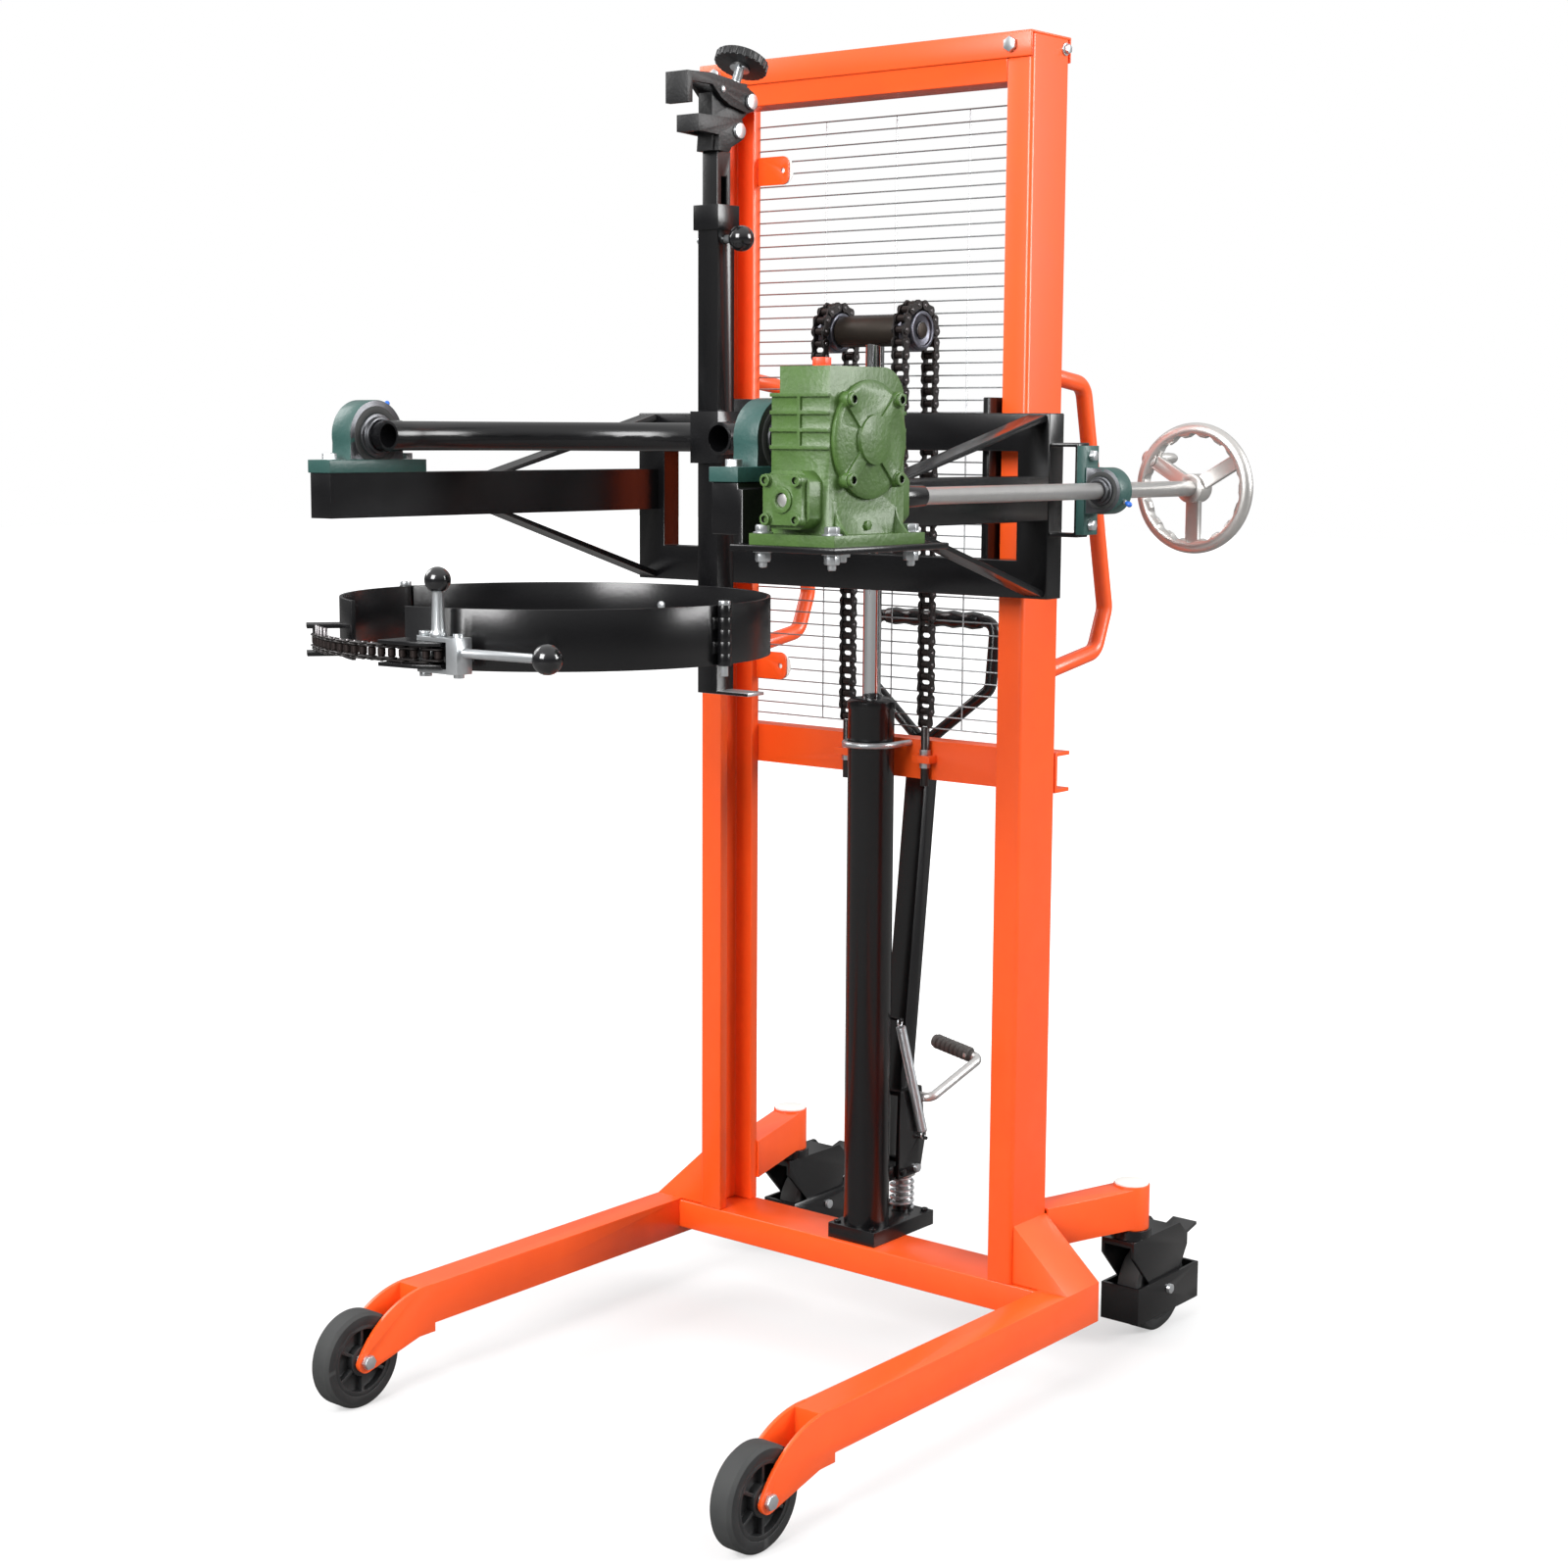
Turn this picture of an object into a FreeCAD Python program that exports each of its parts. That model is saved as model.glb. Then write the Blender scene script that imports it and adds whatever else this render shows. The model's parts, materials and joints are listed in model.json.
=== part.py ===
"""Manual drum tipper: a wheeled mast with a hydraulic lift, a carriage with two arms,
and a drum holder that a hand wheel tips through a worm gearbox.

Machine axes: X to the right of the mast, Y to the rear (operator), Z up, in millimetres.
X = 0 is the middle of the mast, Y = 0 the front face of its posts, Z = 0 the floor.
"""
import FreeCAD, Part
import math
import os

V = FreeCAD.Vector
AX, AY, AZ = V(1, 0, 0), V(0, 1, 0), V(0, 0, 1)

# Posts and beams of the mast
POST_INNER = 280.0
POST_FLANGE = 45.0
POST_DEPTH = 100.0
POST_WEB = 10.0
POST_LIP = 18.0
POST_ROUND = 7.0
MAST_TOP = 2088.0
CAP_HEIGHT = 38.0
CAP_SHEET = 4.0
TOP_BAR_HEIGHT = 68.0
TOP_BAR_DEPTH = 60.0
MID_BEAM_BOTTOM = 936.0
MID_BEAM_HEIGHT = 64.0
MID_BEAM_DEPTH = 40.0
MID_BEAM_WALL = 6.0

# Base: legs, cross beam, gussets and rear arms
LEG_X = 401.0
LEG_WIDTH = 54.0
LEG_BOTTOM = 98.0
LEG_HEIGHT = 64.0
LEG_FRONT = -612.0
LEG_REAR = 98.0
TUBE_WALL = 4.0
CROSS_BOTTOM = 112.0
CROSS_HEIGHT = 48.0
GUSSET_TOP = 255.0
GUSSET_PLATE = 6.0
GUSSET_SETBACK = 6.0
REAR_ARM_WIDTH = 50.0
REAR_ARM_BOTTOM = 196.0
REAR_ARM_HEIGHT = 66.0
SOCKET_X = 364.0
SOCKET_Y = 297.0
SOCKET_RADIUS = 30.0
SOCKET_BORE = 18.0
SOCKET_RISE = 4.0
CAP_THICK = 3.0

# Front wheels
WHEEL_RADIUS = 75.0
WHEEL_WIDTH = 38.0
WHEEL_Y = -725.0
TYRE_THICK = 19.0
HUB_BOSS = 24.0
AXLE_RADIUS = 8.0
BOLT_HEAD = 11.5
BOLT_HEAD_THICK = 7.0
FORK_PLATE = 6.0
FORK_BOSS = 18.0
FORK_OVERLAP = 30.0

# Rear casters
CASTER_TRAIL = 68.0
CASTER_RADIUS = 75.0
CASTER_WIDTH = 44.0
CASTER_CHEEK = 6.0
CASTER_GAP = 3.0
CROWN_THICK = 10.0
CROWN_RADIUS = 40.0
CROWN_DROP = 4.0
STEM_RADIUS = 17.7
GUARD_LENGTH = 195.0
GUARD_HEIGHT = 62.0
GUARD_BOTTOM = 35.0
GUARD_WALL = 5.0
PEDAL_PIVOT_UP = 70.0
PEDAL_PIVOT_BACK = 58.0
PEDAL_LENGTH = 48.0
PEDAL_WIDTH = 46.0
PEDAL_PIN = 4.5

# Lift cylinder, piston and chains
CYL_Y = 50.0
CYL_RADIUS = 38.0
CYL_TOP = 1060.0
GLAND_HEIGHT = 16.0
GLAND_RADIUS = 40.0
FOOT_WIDTH = 96.0
FOOT_FRONT = 8.0
FOOT_REAR = 176.0
FOOT_THICK = 25.0
ROD_RADIUS = 15.0
ROD_CLEAR = 0.4
ROD_BORE_DEPTH = 800.0
ROD_FOOT = 260.0
CROSS_DROP = 432.0
CROSS_RADIUS = 24.5
CHAIN_X = 80.0
CHAIN_PITCH = 19.05
CHAIN_WIDTH = 26.0
CHAIN_RADIUS = 40.0
WRAP_LINKS = 7
PLATE_HEIGHT = 17.0
PLATE_THICK = 3.2
ROLLER_RADIUS = 6.0
ROLLER_WIDTH = 12.8
PULLEY_WIDTH = 30.0
PULLEY_FACE = 33.0
PULLEY_RECESS = 4.0
PULLEY_CLEAR = 0.5
PIN_RADIUS = 12.0
ANCHOR_RADIUS = 7.0
ANCHOR_LENGTH = 96.0
NUT_RADIUS = 12.0
NUT_THICK = 9.0
LUG_THICK = 12.0
LUG_WIDTH = 34.0
CLAMP_WIRE = 5.0

# Pump and its levers
PUMP_Y = 150.0
PUMP_Z = 262.0
PUMP_ARM = 38.0
PLUNGER_RADIUS = 11.0
PUMP_CUP_HEIGHT = 8.0
ROLLER_PUMP = 12.0
ROCKER_WIDTH = 58.0
ROCKER_RISE = 140.0
ROCKER_PLATE = 6.0
LEVER_WIDE = 40.0
LEVER_DEEP = 34.0
LEVER_LEAN = 6.5
LEVER_TOP = 1190.0
LOOP_WIDTH = 250.0
LOOP_HEIGHT = 200.0
LOOP_TUBE = 10.0
GRIP_RADIUS = 15.0
SPRING_TURNS = 6
SPRING_RADIUS = 18.5
SPRING_WIRE = 2.4
TENSION_TURNS = 24
TENSION_RADIUS = 7.0
TENSION_WIRE = 1.6
PEDAL_ROD = 8.0
PEDAL_GRIP = 13.0
PEDAL_RIBS = 8

# Carriage
FRAME_HALF = 408.0
FRAME_DROP = 404.0
FRAME_HEIGHT = 274.0
FRAME_FRONT = -62.0
FRAME_DEPTH = 38.0
FRAME_MEMBER = 56.0
GUIDE_PLATE_X = 262.0
GUIDE_PLATE = 12.0
GUIDE_RADIUS = 31.6
GUIDE_WIDTH = 26.0
GUIDE_INSET = 44.0
GUIDE_PIN = 12.0
ARM_WIDTH = 44.0
ARM_HEIGHT = 66.0
ARM_LIFT = 116.0
ARM_FRONT = -773.0
BRACE_THICK = 8.0
BRACE_WIDTH = 34.0
BRACE_START = -420.0

# Tilt axis, bearings and gearbox
TILT_Y = -681.0
BLOCK_RISE = 54.0
BLOCK_LENGTH = 190.0
BLOCK_WIDTH = 48.0
BLOCK_FOOT = 19.0
BLOCK_RADIUS = 52.0
SHAFT_RADIUS = 22.5
FIT = 0.15
SHELF_THICK = 8.0
SHELF_WIDTH = 167.0
SHELF_FRONT = -790.0
SHELF_REAR = -548.0
GEAR_GAP = 42.0
GEAR_WIDTH = 92.0
GEAR_HALF = 77.0
GEAR_RISE = 90.0
GEAR_ROUND = 44.0
GEAR_STEP = 13.0
GEAR_STEP_DROP = 33.0
GEAR_FOOT = 14.0
GEAR_FOOT_HALF = 94.0
GEAR_FOOT_SIDE = 22.0
GEAR_RIB = 6.0
GEAR_RIB_RISE = 54.0
GEAR_COVER = 14.0
COVER_RADIUS = 74.0
COVER_BOSS = 31.0
COVER_BOLTS = 70.0
BOSS_RADIUS = 10.0
FIN_COUNT = 4
FIN_PITCH = 21.5
FIN_HEIGHT = 4.0
FIN_THICK = 4.5
VENT_RADIUS = 12.0
DRAIN_RADIUS = 6.5
WORM_DROP = 74.0
WORM_RISE = 57.0
WORM_SHAFT = 9.0
NOSE_HALF = 36.0
NOSE_LENGTH = 26.0
NOSE_COVER = 31.0
NOSE_THICK = 9.0
NOSE_CORNER = 10.0
DRIVE_RADIUS = 12.0
COUPLING_RADIUS = 15.0
COUPLING_LENGTH = 50.0
COUPLING_GAP = 24.0
BRACKET_STRIP = 6.0
BRACKET_WIDTH = 30.0
ROD_BLOCK_RISE = 40.0
ROD_BLOCK_LENGTH = 130.0
ROD_BLOCK_WIDTH = 38.0
ROD_BLOCK_RADIUS = 34.0
WHEEL_HAND_RADIUS = 100.0
WHEEL_HAND_RIM = 11.0
WHEEL_HAND_Y = 210.0
WHEEL_HAND_HUB = 22.0
GRIP_DENTS = 18
DENT_RADIUS = 10.0
CRANK_ANGLE = 150.0
CRANK_RADIUS = 9.0
CRANK_LUG = 12.5
CRANK_LENGTH = 58.0

# Drum holder
YOKE_GAP = 70.0
YOKE_RADIUS = 21.5
YOKE_WALL = 4.0
YOKE_CENTRE = -656.0
YOKE_SETBACK = 42.0
SPINE_WIDTH = 38.0
SPINE_WALL = 4.0
SPINE_DROP = 376.0
SPINE_RISE = 307.0
SLEEVE_WIDTH = 54.0
SLEEVE_HEIGHT = 76.0
BAR_REACH = 60.0
COLLAR_WIDTH = 48.0
COLLAR_HEIGHT = 36.0
SLIDE_CLEAR = 0.4
SLIDE_OUT = 107.0
SLIDE_IN = 235.0
BAND_RADIUS = 299.0
BAND_SHEET = 5.0
BAND_DROP = 298.0
BAND_HEIGHT = 80.0
KNUCKLE_RADIUS = 9.0
HINGE_PIN = 5.0
RIGHT_ARM_END = -87.0
LEFT_ARM_END = 248.0
HINGE_GAP = 2.6
INDEX_RADIUS = 6.0
INDEX_DROP = 19.0
SLOT_HALF = 90.0
BALL_RADIUS = 19.0
JAW_HALF = 21.0
JAW_CHEEK = 7.0
JAW_CLEAR = 1.0
JAW_PIN = 7.0
JAW_HEAD = 11.0
JAW_HEAD_THICK = 5.0
JAW_PIVOT_BACK = 52.0
JAW_PIVOT_RISE = 75.0
JAW_NOSE_REACH = 140.0
JAW_NOSE_THICK = 11.0
JAW_NOSE_DROP = 13.0
JAW_NOSE_RISE = 31.0
LOW_PAD_REACH = 116.0
LOW_PAD_DROP = 51.0
LOW_PAD_HEIGHT = 24.0
LOW_BOLT_FRONT = 27.0
LOW_BOLT_DROP = 44.0
KNOB_FRONT = 12.0
KNOB_SEAT_RISE = 21.0
KNOB_LEAN = 24.0
KNOB_SCREW = 6.5
KNOB_RADIUS = 40.0
KNOB_HEIGHT = 14.0
KNOB_RISE = 34.0
KNOB_NOTCHES = 24
BALL_SMALL = 17.0
BALL_LEVER = 19.5
RATCHET_UP = 22.0
RATCHET_PLATE = 5.0
RATCHET_GAP = 24.0
RATCHET_ALONG = 48.0
RATCHET_OUT = 12.0
RATCHET_PIN = 5.0
RATCHET_REACH = 120.0
CLEVIS_THICK = 6.0
CLEVIS_BAR = 6.0
LEVER_FOOT = 75.0
LEVER_TALL = 60.0
CHAIN_OFFSET = 33.0
HOOP_WIDTH = 22.0
HOOP_PLATE = 15.0
HOOP_ROLLER = 5.5
HOOP_ROLLER_WIDTH = 8.8
HOOP_LINKS = 17
HOOK_ANGLE = 231.0
HOOK_PLATE = 6.0
HOOK_GAP = 32.0
HOOK_PIN = 4.0

# Wire guard and push handles
MESH_DROP = 92.0
MESH_FOOT = 20.0
MESH_PITCH = 19.5
MESH_COLUMNS = 3
MESH_WIRE = 3.0
MESH_HALF = 286.0
HANDLE_TUBE = 13.0
HANDLE_WALL = 2.5
HANDLE_BEND = 28.0

# Derived places
POST_OUTER = POST_INNER + POST_FLANGE
CROSS_TOP = CROSS_BOTTOM + CROSS_HEIGHT
LEG_TOP = LEG_BOTTOM + LEG_HEIGHT
LEG_OUTER = LEG_X + LEG_WIDTH / 2
LEG_INNER = LEG_X - LEG_WIDTH / 2
CROSS_Z = MAST_TOP - CROSS_DROP
FRAME_BOTTOM = CROSS_Z - FRAME_DROP
FRAME_TOP = FRAME_BOTTOM + FRAME_HEIGHT
FRAME_REAR = FRAME_FRONT + FRAME_DEPTH
ARM_BOTTOM = FRAME_BOTTOM + ARM_LIFT
ARM_TOP = ARM_BOTTOM + ARM_HEIGHT
ARM_OUTER = FRAME_HALF
ARM_X = ARM_OUTER - ARM_WIDTH / 2
TILT_Z = ARM_TOP + BLOCK_RISE
SHELF_TOP = TILT_Z - WORM_DROP - WORM_RISE
WORM_Z = TILT_Z - WORM_DROP
SHELF_OUTER = ARM_OUTER + SHELF_WIDTH
GEAR_X0 = ARM_OUTER + GEAR_GAP
GEAR_X1 = GEAR_X0 + GEAR_WIDTH
DRIVE_X = (GEAR_X0 + GEAR_X1) / 2
YOKE_HALF = ARM_X - YOKE_GAP
YOKE_REAR = TILT_Y + BAND_RADIUS + YOKE_SETBACK
SPINE_Y = YOKE_REAR
SPINE_BOTTOM = TILT_Z - SPINE_DROP
SPINE_TOP = TILT_Z + SPINE_RISE
SLIDE_TOP = SPINE_TOP + SLIDE_OUT
SLIDE_BOTTOM = SPINE_TOP - SLIDE_IN
INDEX_Z = SPINE_TOP - INDEX_DROP
BAND_BOTTOM = TILT_Z - BAND_DROP
BAND_TOP = BAND_BOTTOM + BAND_HEIGHT
RATCHET_Z = BAND_BOTTOM + RATCHET_UP
JAW_PIVOT_Y = SPINE_Y + JAW_PIVOT_BACK
JAW_PIVOT_Z = SLIDE_TOP + JAW_PIVOT_RISE
JAW_NOSE_Y = JAW_PIVOT_Y - JAW_NOSE_REACH
JAW_NOSE_LOW = JAW_PIVOT_Z - JAW_NOSE_DROP
JAW_NOSE_TOP = JAW_PIVOT_Z + JAW_NOSE_RISE
LOW_PAD_Y = JAW_PIVOT_Y - LOW_PAD_REACH
LOW_PAD_LOW = JAW_PIVOT_Z - LOW_PAD_DROP
LOW_PAD_TOP = LOW_PAD_LOW + LOW_PAD_HEIGHT
LOW_BOLT_Y = JAW_PIVOT_Y - LOW_BOLT_FRONT
LOW_BOLT_Z = JAW_PIVOT_Z - LOW_BOLT_DROP
KNOB_Y = JAW_PIVOT_Y - KNOB_FRONT
KNOB_Z = JAW_PIVOT_Z + KNOB_SEAT_RISE
MESH_TOP = MAST_TOP - MESH_DROP
MESH_ROWS = int((MESH_TOP - MID_BEAM_BOTTOM - MID_BEAM_HEIGHT - MESH_FOOT) / MESH_PITCH)
FOOT_TOP = CROSS_TOP + FOOT_THICK
MID_BEAM_FRONT = POST_DEPTH
CHAIN_REAR_Y = CYL_Y + CHAIN_RADIUS
CHAIN_FRONT_Y = CYL_Y - CHAIN_RADIUS
PIVOT_Y = PUMP_Y - PUMP_ARM
CASTER_Y = SOCKET_Y + CASTER_TRAIL
HINGE_X = BAND_RADIUS + KNUCKLE_RADIUS
CROWN_TOP = REAR_ARM_BOTTOM - SOCKET_RISE
HOOK_LOW_Y = PUMP_Y + 8
HOOK_LOW_Z = PUMP_Z + 52
SPRING_HOOK_X = ROCKER_WIDTH / 2 + 10
SPRING_HOOK_Y = CYL_Y + 34
SPRING_HOOK_Z = PUMP_Z + 270

parts = {}


def add(node, *solids):
    """Put solids into a node."""
    for shape in solids:
        parts.setdefault(node, []).extend(shape.Solids)


def block(x, y, z):
    """Box from three (low, high) pairs."""
    return Part.makeBox(x[1] - x[0], y[1] - y[0], z[1] - z[0], V(x[0], y[0], z[0]))


def rod(radius, start, end):
    """Round bar between two points."""
    line = end - start
    return Part.makeCylinder(radius, line.Length, start, line)


def ring(outer, inner, start, end):
    """Round tube between two points."""
    return rod(outer, start, end).cut(rod(inner, start, end))


def prism(points, sweep):
    """Flat outline of straight edges, swept along a vector."""
    return Part.Face(Part.makePolygon(points + [points[0]])).extrude(sweep)


def hexagon(radius, start, end):
    """Six sided bar between two points, as a bolt head or nut."""
    line = end - start
    side = line.cross(AX if abs(line.x) < 0.5 * line.Length else AZ).normalize()
    up = line.cross(side).normalize()
    corners = []
    for i in range(6):
        turn = math.radians(60 * i)
        corners.append(start + side * (radius * math.cos(turn)) + up * (radius * math.sin(turn)))
    return prism(corners, line)


def turned(points, start, axis, side):
    """Body of revolution from (along, radius) points about an axis through start."""
    corners = [start + axis * a + side * r for a, r in points]
    face = Part.Face(Part.makePolygon(corners + [corners[0]]))
    return face.revolve(start, axis, 360)


def rounded_path(points, radius):
    """Straight runs joined by tangent arcs of one radius."""
    edges = []
    last = points[0]
    for before, corner, after in zip(points, points[1:], points[2:]):
        into = (before - corner).normalize()
        out = (after - corner).normalize()
        half = math.acos(max(-1.0, min(1.0, into.dot(out)))) / 2
        setback = radius / math.tan(half)
        first = corner + into * setback
        second = corner + out * setback
        bisector = (into + out).normalize()
        middle = corner + bisector * (radius / math.sin(half) - radius)
        if (first - last).Length > 1e-6:
            edges.append(Part.LineSegment(last, first).toShape())
        edges.append(Part.Arc(first, middle, second).toShape())
        last = second
    edges.append(Part.LineSegment(last, points[-1]).toShape())
    return Part.Wire(edges)


def swept(path, radius):
    """Round bar along a path of lines and arcs."""
    first = path.OrderedEdges[0]
    start = first.valueAt(first.FirstParameter)
    along = first.tangentAt(first.FirstParameter)
    section = Part.Wire(Part.makeCircle(radius, start, along))
    return path.makePipeShell([section], True, False)


def bent_tube(points, bend, outer, inner=0.0):
    """Tube or bar bent through points."""
    path = rounded_path(points, bend)
    solid = swept(path, outer)
    return solid.cut(swept(path, inner)) if inner else solid


def mirrored(shape):
    """The same shape on the other side of the mast."""
    return shape.mirror(V(0, 0, 0), AX)


def fused(*shapes):
    """One welded or cast solid."""
    return shapes[0].fuse(list(shapes[1:])).removeSplitter()


def biarc(p0, t0, p1, t1):
    """Two arcs that join two points with given tangents."""
    gap = p1 - p0
    both = t0 + t1
    a = both.dot(both) - 4.0
    b = 2.0 * gap.dot(both)
    c = gap.dot(gap)
    reach = c / b if abs(a) < 1e-9 else (-b + math.sqrt(b * b + 4 * abs(a) * c)) / (2 * abs(a))
    reach = abs(reach)
    c0 = p0 + t0 * reach
    c1 = p1 - t1 * reach
    joint = (c0 + c1) * 0.5
    return [arc_from(p0, t0, joint), arc_from(p1, t1 * -1, joint, back=True)]


def arc_from(start, tangent, end, back=False):
    """Arc that leaves start along tangent and reaches end."""
    chord = end - start
    half = (chord * 0.5)
    normal = (chord - tangent * chord.dot(tangent))
    normal.normalize()
    radius = chord.dot(chord) / (2 * chord.dot(normal))
    centre = start + normal * radius
    to_mid = (start + half) - centre
    middle = centre + to_mid.normalize() * radius
    return Part.Arc(end, middle, start).toShape() if back else Part.Arc(start, middle, end).toShape()


def coil(foot, axis, side, radius, pitch, turns, wire):
    """Helical spring wound from quarter turns, with its least gap printed."""
    across = axis.cross(side)
    rise = pitch / (2 * math.pi)
    steps = 4 * turns
    spots = []
    for i in range(steps + 1):
        turn = i * math.pi / 2
        spot = side * (radius * math.cos(turn)) + across * (radius * math.sin(turn)) + axis * (rise * turn)
        lead = across * (radius * math.cos(turn)) - side * (radius * math.sin(turn)) + axis * rise
        spots.append((foot + spot, lead.normalize()))
    edges = []
    for (p0, t0), (p1, t1) in zip(spots, spots[1:]):
        edges += biarc(p0, t0, p1, t1)
    lean = math.cos(math.atan(rise / radius))
    print("spring gap", round(pitch * lean - 2 * wire, 2))
    return swept(Part.Wire(edges), wire)


def tube_box(x, y, z, wall, along):
    """Rectangular tube along one axis, open at its ends."""
    keep = {"x": (0, wall, wall), "y": (wall, 0, wall), "z": (wall, wall, 0)}[along]
    inner = [(s[0] + k, s[1] - k) for s, k in zip((x, y, z), keep)]
    return block(x, y, z).cut(block(*inner))


def build_base():
    """Legs with wheel forks, cross beam, gussets, rear arms and sockets."""
    beam = tube_box((-LEG_INNER, LEG_INNER), (0, POST_DEPTH), (CROSS_BOTTOM, CROSS_TOP), TUBE_WALL, "x")
    add("cross_beam", beam)
    leg = tube_box((LEG_INNER, LEG_OUTER), (LEG_FRONT, LEG_REAR), (LEG_BOTTOM, LEG_TOP), TUBE_WALL, "y")
    front_wall = block((LEG_INNER, LEG_OUTER), (LEG_FRONT, LEG_FRONT + FORK_PLATE), (LEG_BOTTOM, LEG_TOP))
    rear_wall = block((LEG_INNER, LEG_OUTER), (LEG_REAR - TUBE_WALL, LEG_REAR), (LEG_BOTTOM, LEG_TOP))
    pieces = [leg, front_wall, rear_wall]
    for x in (LEG_INNER, LEG_OUTER - FORK_PLATE):
        pieces.append(fork_plate(x))
    slope = math.atan2(GUSSET_TOP - LEG_TOP, LEG_OUTER - POST_OUTER)
    lean = GUSSET_PLATE / math.sin(slope)
    foot = LEG_OUTER - lean
    cover = prism([V(POST_OUTER, GUSSET_SETBACK, GUSSET_TOP), V(LEG_OUTER, GUSSET_SETBACK, LEG_TOP),
                   V(foot, GUSSET_SETBACK, LEG_TOP),
                   V(POST_OUTER, GUSSET_SETBACK, GUSSET_TOP - lean * math.tan(slope))],
                  V(0, LEG_REAR - GUSSET_SETBACK, 0))
    web = prism([V(POST_OUTER, GUSSET_SETBACK, GUSSET_TOP - 1), V(LEG_OUTER - 1, GUSSET_SETBACK, LEG_TOP),
                 V(POST_OUTER, GUSSET_SETBACK, LEG_TOP)], V(0, GUSSET_PLATE, 0))
    pieces += [cover, web]
    right = fused(*pieces)
    add("right_leg", right)
    add("left_leg", mirrored(right))
    arm = rear_arm()
    add("right_rear_arm", arm)
    add("left_rear_arm", mirrored(arm))
    for side in (1, -1):
        centre = V(side * SOCKET_X, SOCKET_Y, REAR_ARM_BOTTOM + REAR_ARM_HEIGHT + SOCKET_RISE)
        add("frame_fasteners", rod(SOCKET_RADIUS - 2, centre, centre + AZ * CAP_THICK))


def fork_plate(x):
    """Curved wheel fork plate in a plane across X."""
    rear = LEG_FRONT + FORK_OVERLAP
    boss = FORK_BOSS
    top_rear = V(x, rear, LEG_TOP)
    top_bend = V(x, (LEG_FRONT + WHEEL_Y) / 2, LEG_TOP - 16)
    back = V(x, WHEEL_Y - boss, WHEEL_RADIUS)
    low = V(x, WHEEL_Y + boss * 0.35, WHEEL_RADIUS - boss * 0.94)
    under = V(x, WHEEL_Y - boss * 0.7, WHEEL_RADIUS - boss * 0.714)
    heel_front = V(x, LEG_FRONT - 4, LEG_BOTTOM - 14)
    heel = V(x, rear, LEG_BOTTOM - 14)
    edges = [Part.Arc(top_rear, top_bend, back).toShape(),
             Part.Arc(back, under, low).toShape(),
             Part.LineSegment(low, heel_front).toShape(),
             Part.LineSegment(heel_front, heel).toShape(),
             Part.LineSegment(heel, top_rear).toShape()]
    plate = Part.Face(Part.Wire(edges)).extrude(V(FORK_PLATE, 0, 0))
    bore = rod(AXLE_RADIUS, V(x - 1, WHEEL_Y, WHEEL_RADIUS), V(x + FORK_PLATE + 1, WHEEL_Y, WHEEL_RADIUS))
    return plate.cut(bore)


def rear_arm():
    """Right rear arm: a splayed tube and the upright caster socket."""
    start_x = (POST_INNER + POST_OUTER) / 2
    run = V(SOCKET_X - start_x, SOCKET_Y - POST_DEPTH, 0)
    along = V(run).normalize()
    across = V(along.y, -along.x, 0)
    low, high = REAR_ARM_BOTTOM, REAR_ARM_BOTTOM + REAR_ARM_HEIGHT

    def bar(half, bottom, top, reach):
        shift = half / across.x
        a = V(start_x - shift, POST_DEPTH, bottom)
        b = V(start_x + shift, POST_DEPTH, bottom)
        end = V(start_x, POST_DEPTH, bottom) + along * reach
        return prism([a, b, end + across * half, end - across * half], V(0, 0, top - bottom))

    outer = bar(REAR_ARM_WIDTH / 2, low, high, run.Length)
    inner = bar(REAR_ARM_WIDTH / 2 - TUBE_WALL, low + TUBE_WALL, high - TUBE_WALL, run.Length)
    foot = V(SOCKET_X, SOCKET_Y, low - SOCKET_RISE)
    head = V(SOCKET_X, SOCKET_Y, high + SOCKET_RISE)
    socket = rod(SOCKET_RADIUS, foot, head)
    bore = rod(SOCKET_BORE, foot, head)
    return fused(outer.cut(inner), socket).cut(bore)


def build_front_wheels():
    """Two front wheels with tyre, ribbed hub and axle bolt."""
    half = WHEEL_WIDTH / 2
    for side, name in ((-1, "left"), (1, "right")):
        centre = V(side * LEG_X, WHEEL_Y, WHEEL_RADIUS)
        add(name + "_front_wheel", *wheel(centre, WHEEL_RADIUS, half, AXLE_RADIUS + FIT, TYRE_THICK))
        out = side * (LEG_WIDTH / 2)
        start = centre + V(-out - side * NUT_THICK, 0, 0)
        end = centre + V(out, 0, 0)
        head = hexagon(BOLT_HEAD, end, end + V(side * BOLT_HEAD_THICK, 0, 0))
        nut = hexagon(BOLT_HEAD, start, centre + V(-out, 0, 0))
        add("frame_fasteners", fused(rod(AXLE_RADIUS - FIT, start, end), head, nut))


def wheel(centre, radius, half, bore, tyre_thick):
    """Tyre and ribbed hub about an X axis."""
    rim = radius - tyre_thick
    web = half * 0.3
    tyre = turned([(-half, rim), (half, rim), (half, radius - 5), (half - 5, radius),
                   (5 - half, radius), (-half, radius - 5)], centre, AX, AZ)
    hub = turned([(-half, bore), (half, bore), (half, HUB_BOSS), (web, HUB_BOSS), (web, rim - 7),
                  (half - 1, rim - 7), (half - 1, rim), (1 - half, rim), (1 - half, rim - 7),
                  (-web, rim - 7), (-web, HUB_BOSS), (-half, HUB_BOSS)], centre, AX, AZ)
    ribs = []
    for i in range(6):
        rib = block((-half + 3, half - 3), (-2.5, 2.5), (HUB_BOSS - 2, rim - 5))
        rib.translate(centre)
        ribs.append(rib.rotate(centre, AX, 60 * i))
    return tyre, fused(hub, *ribs)


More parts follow.
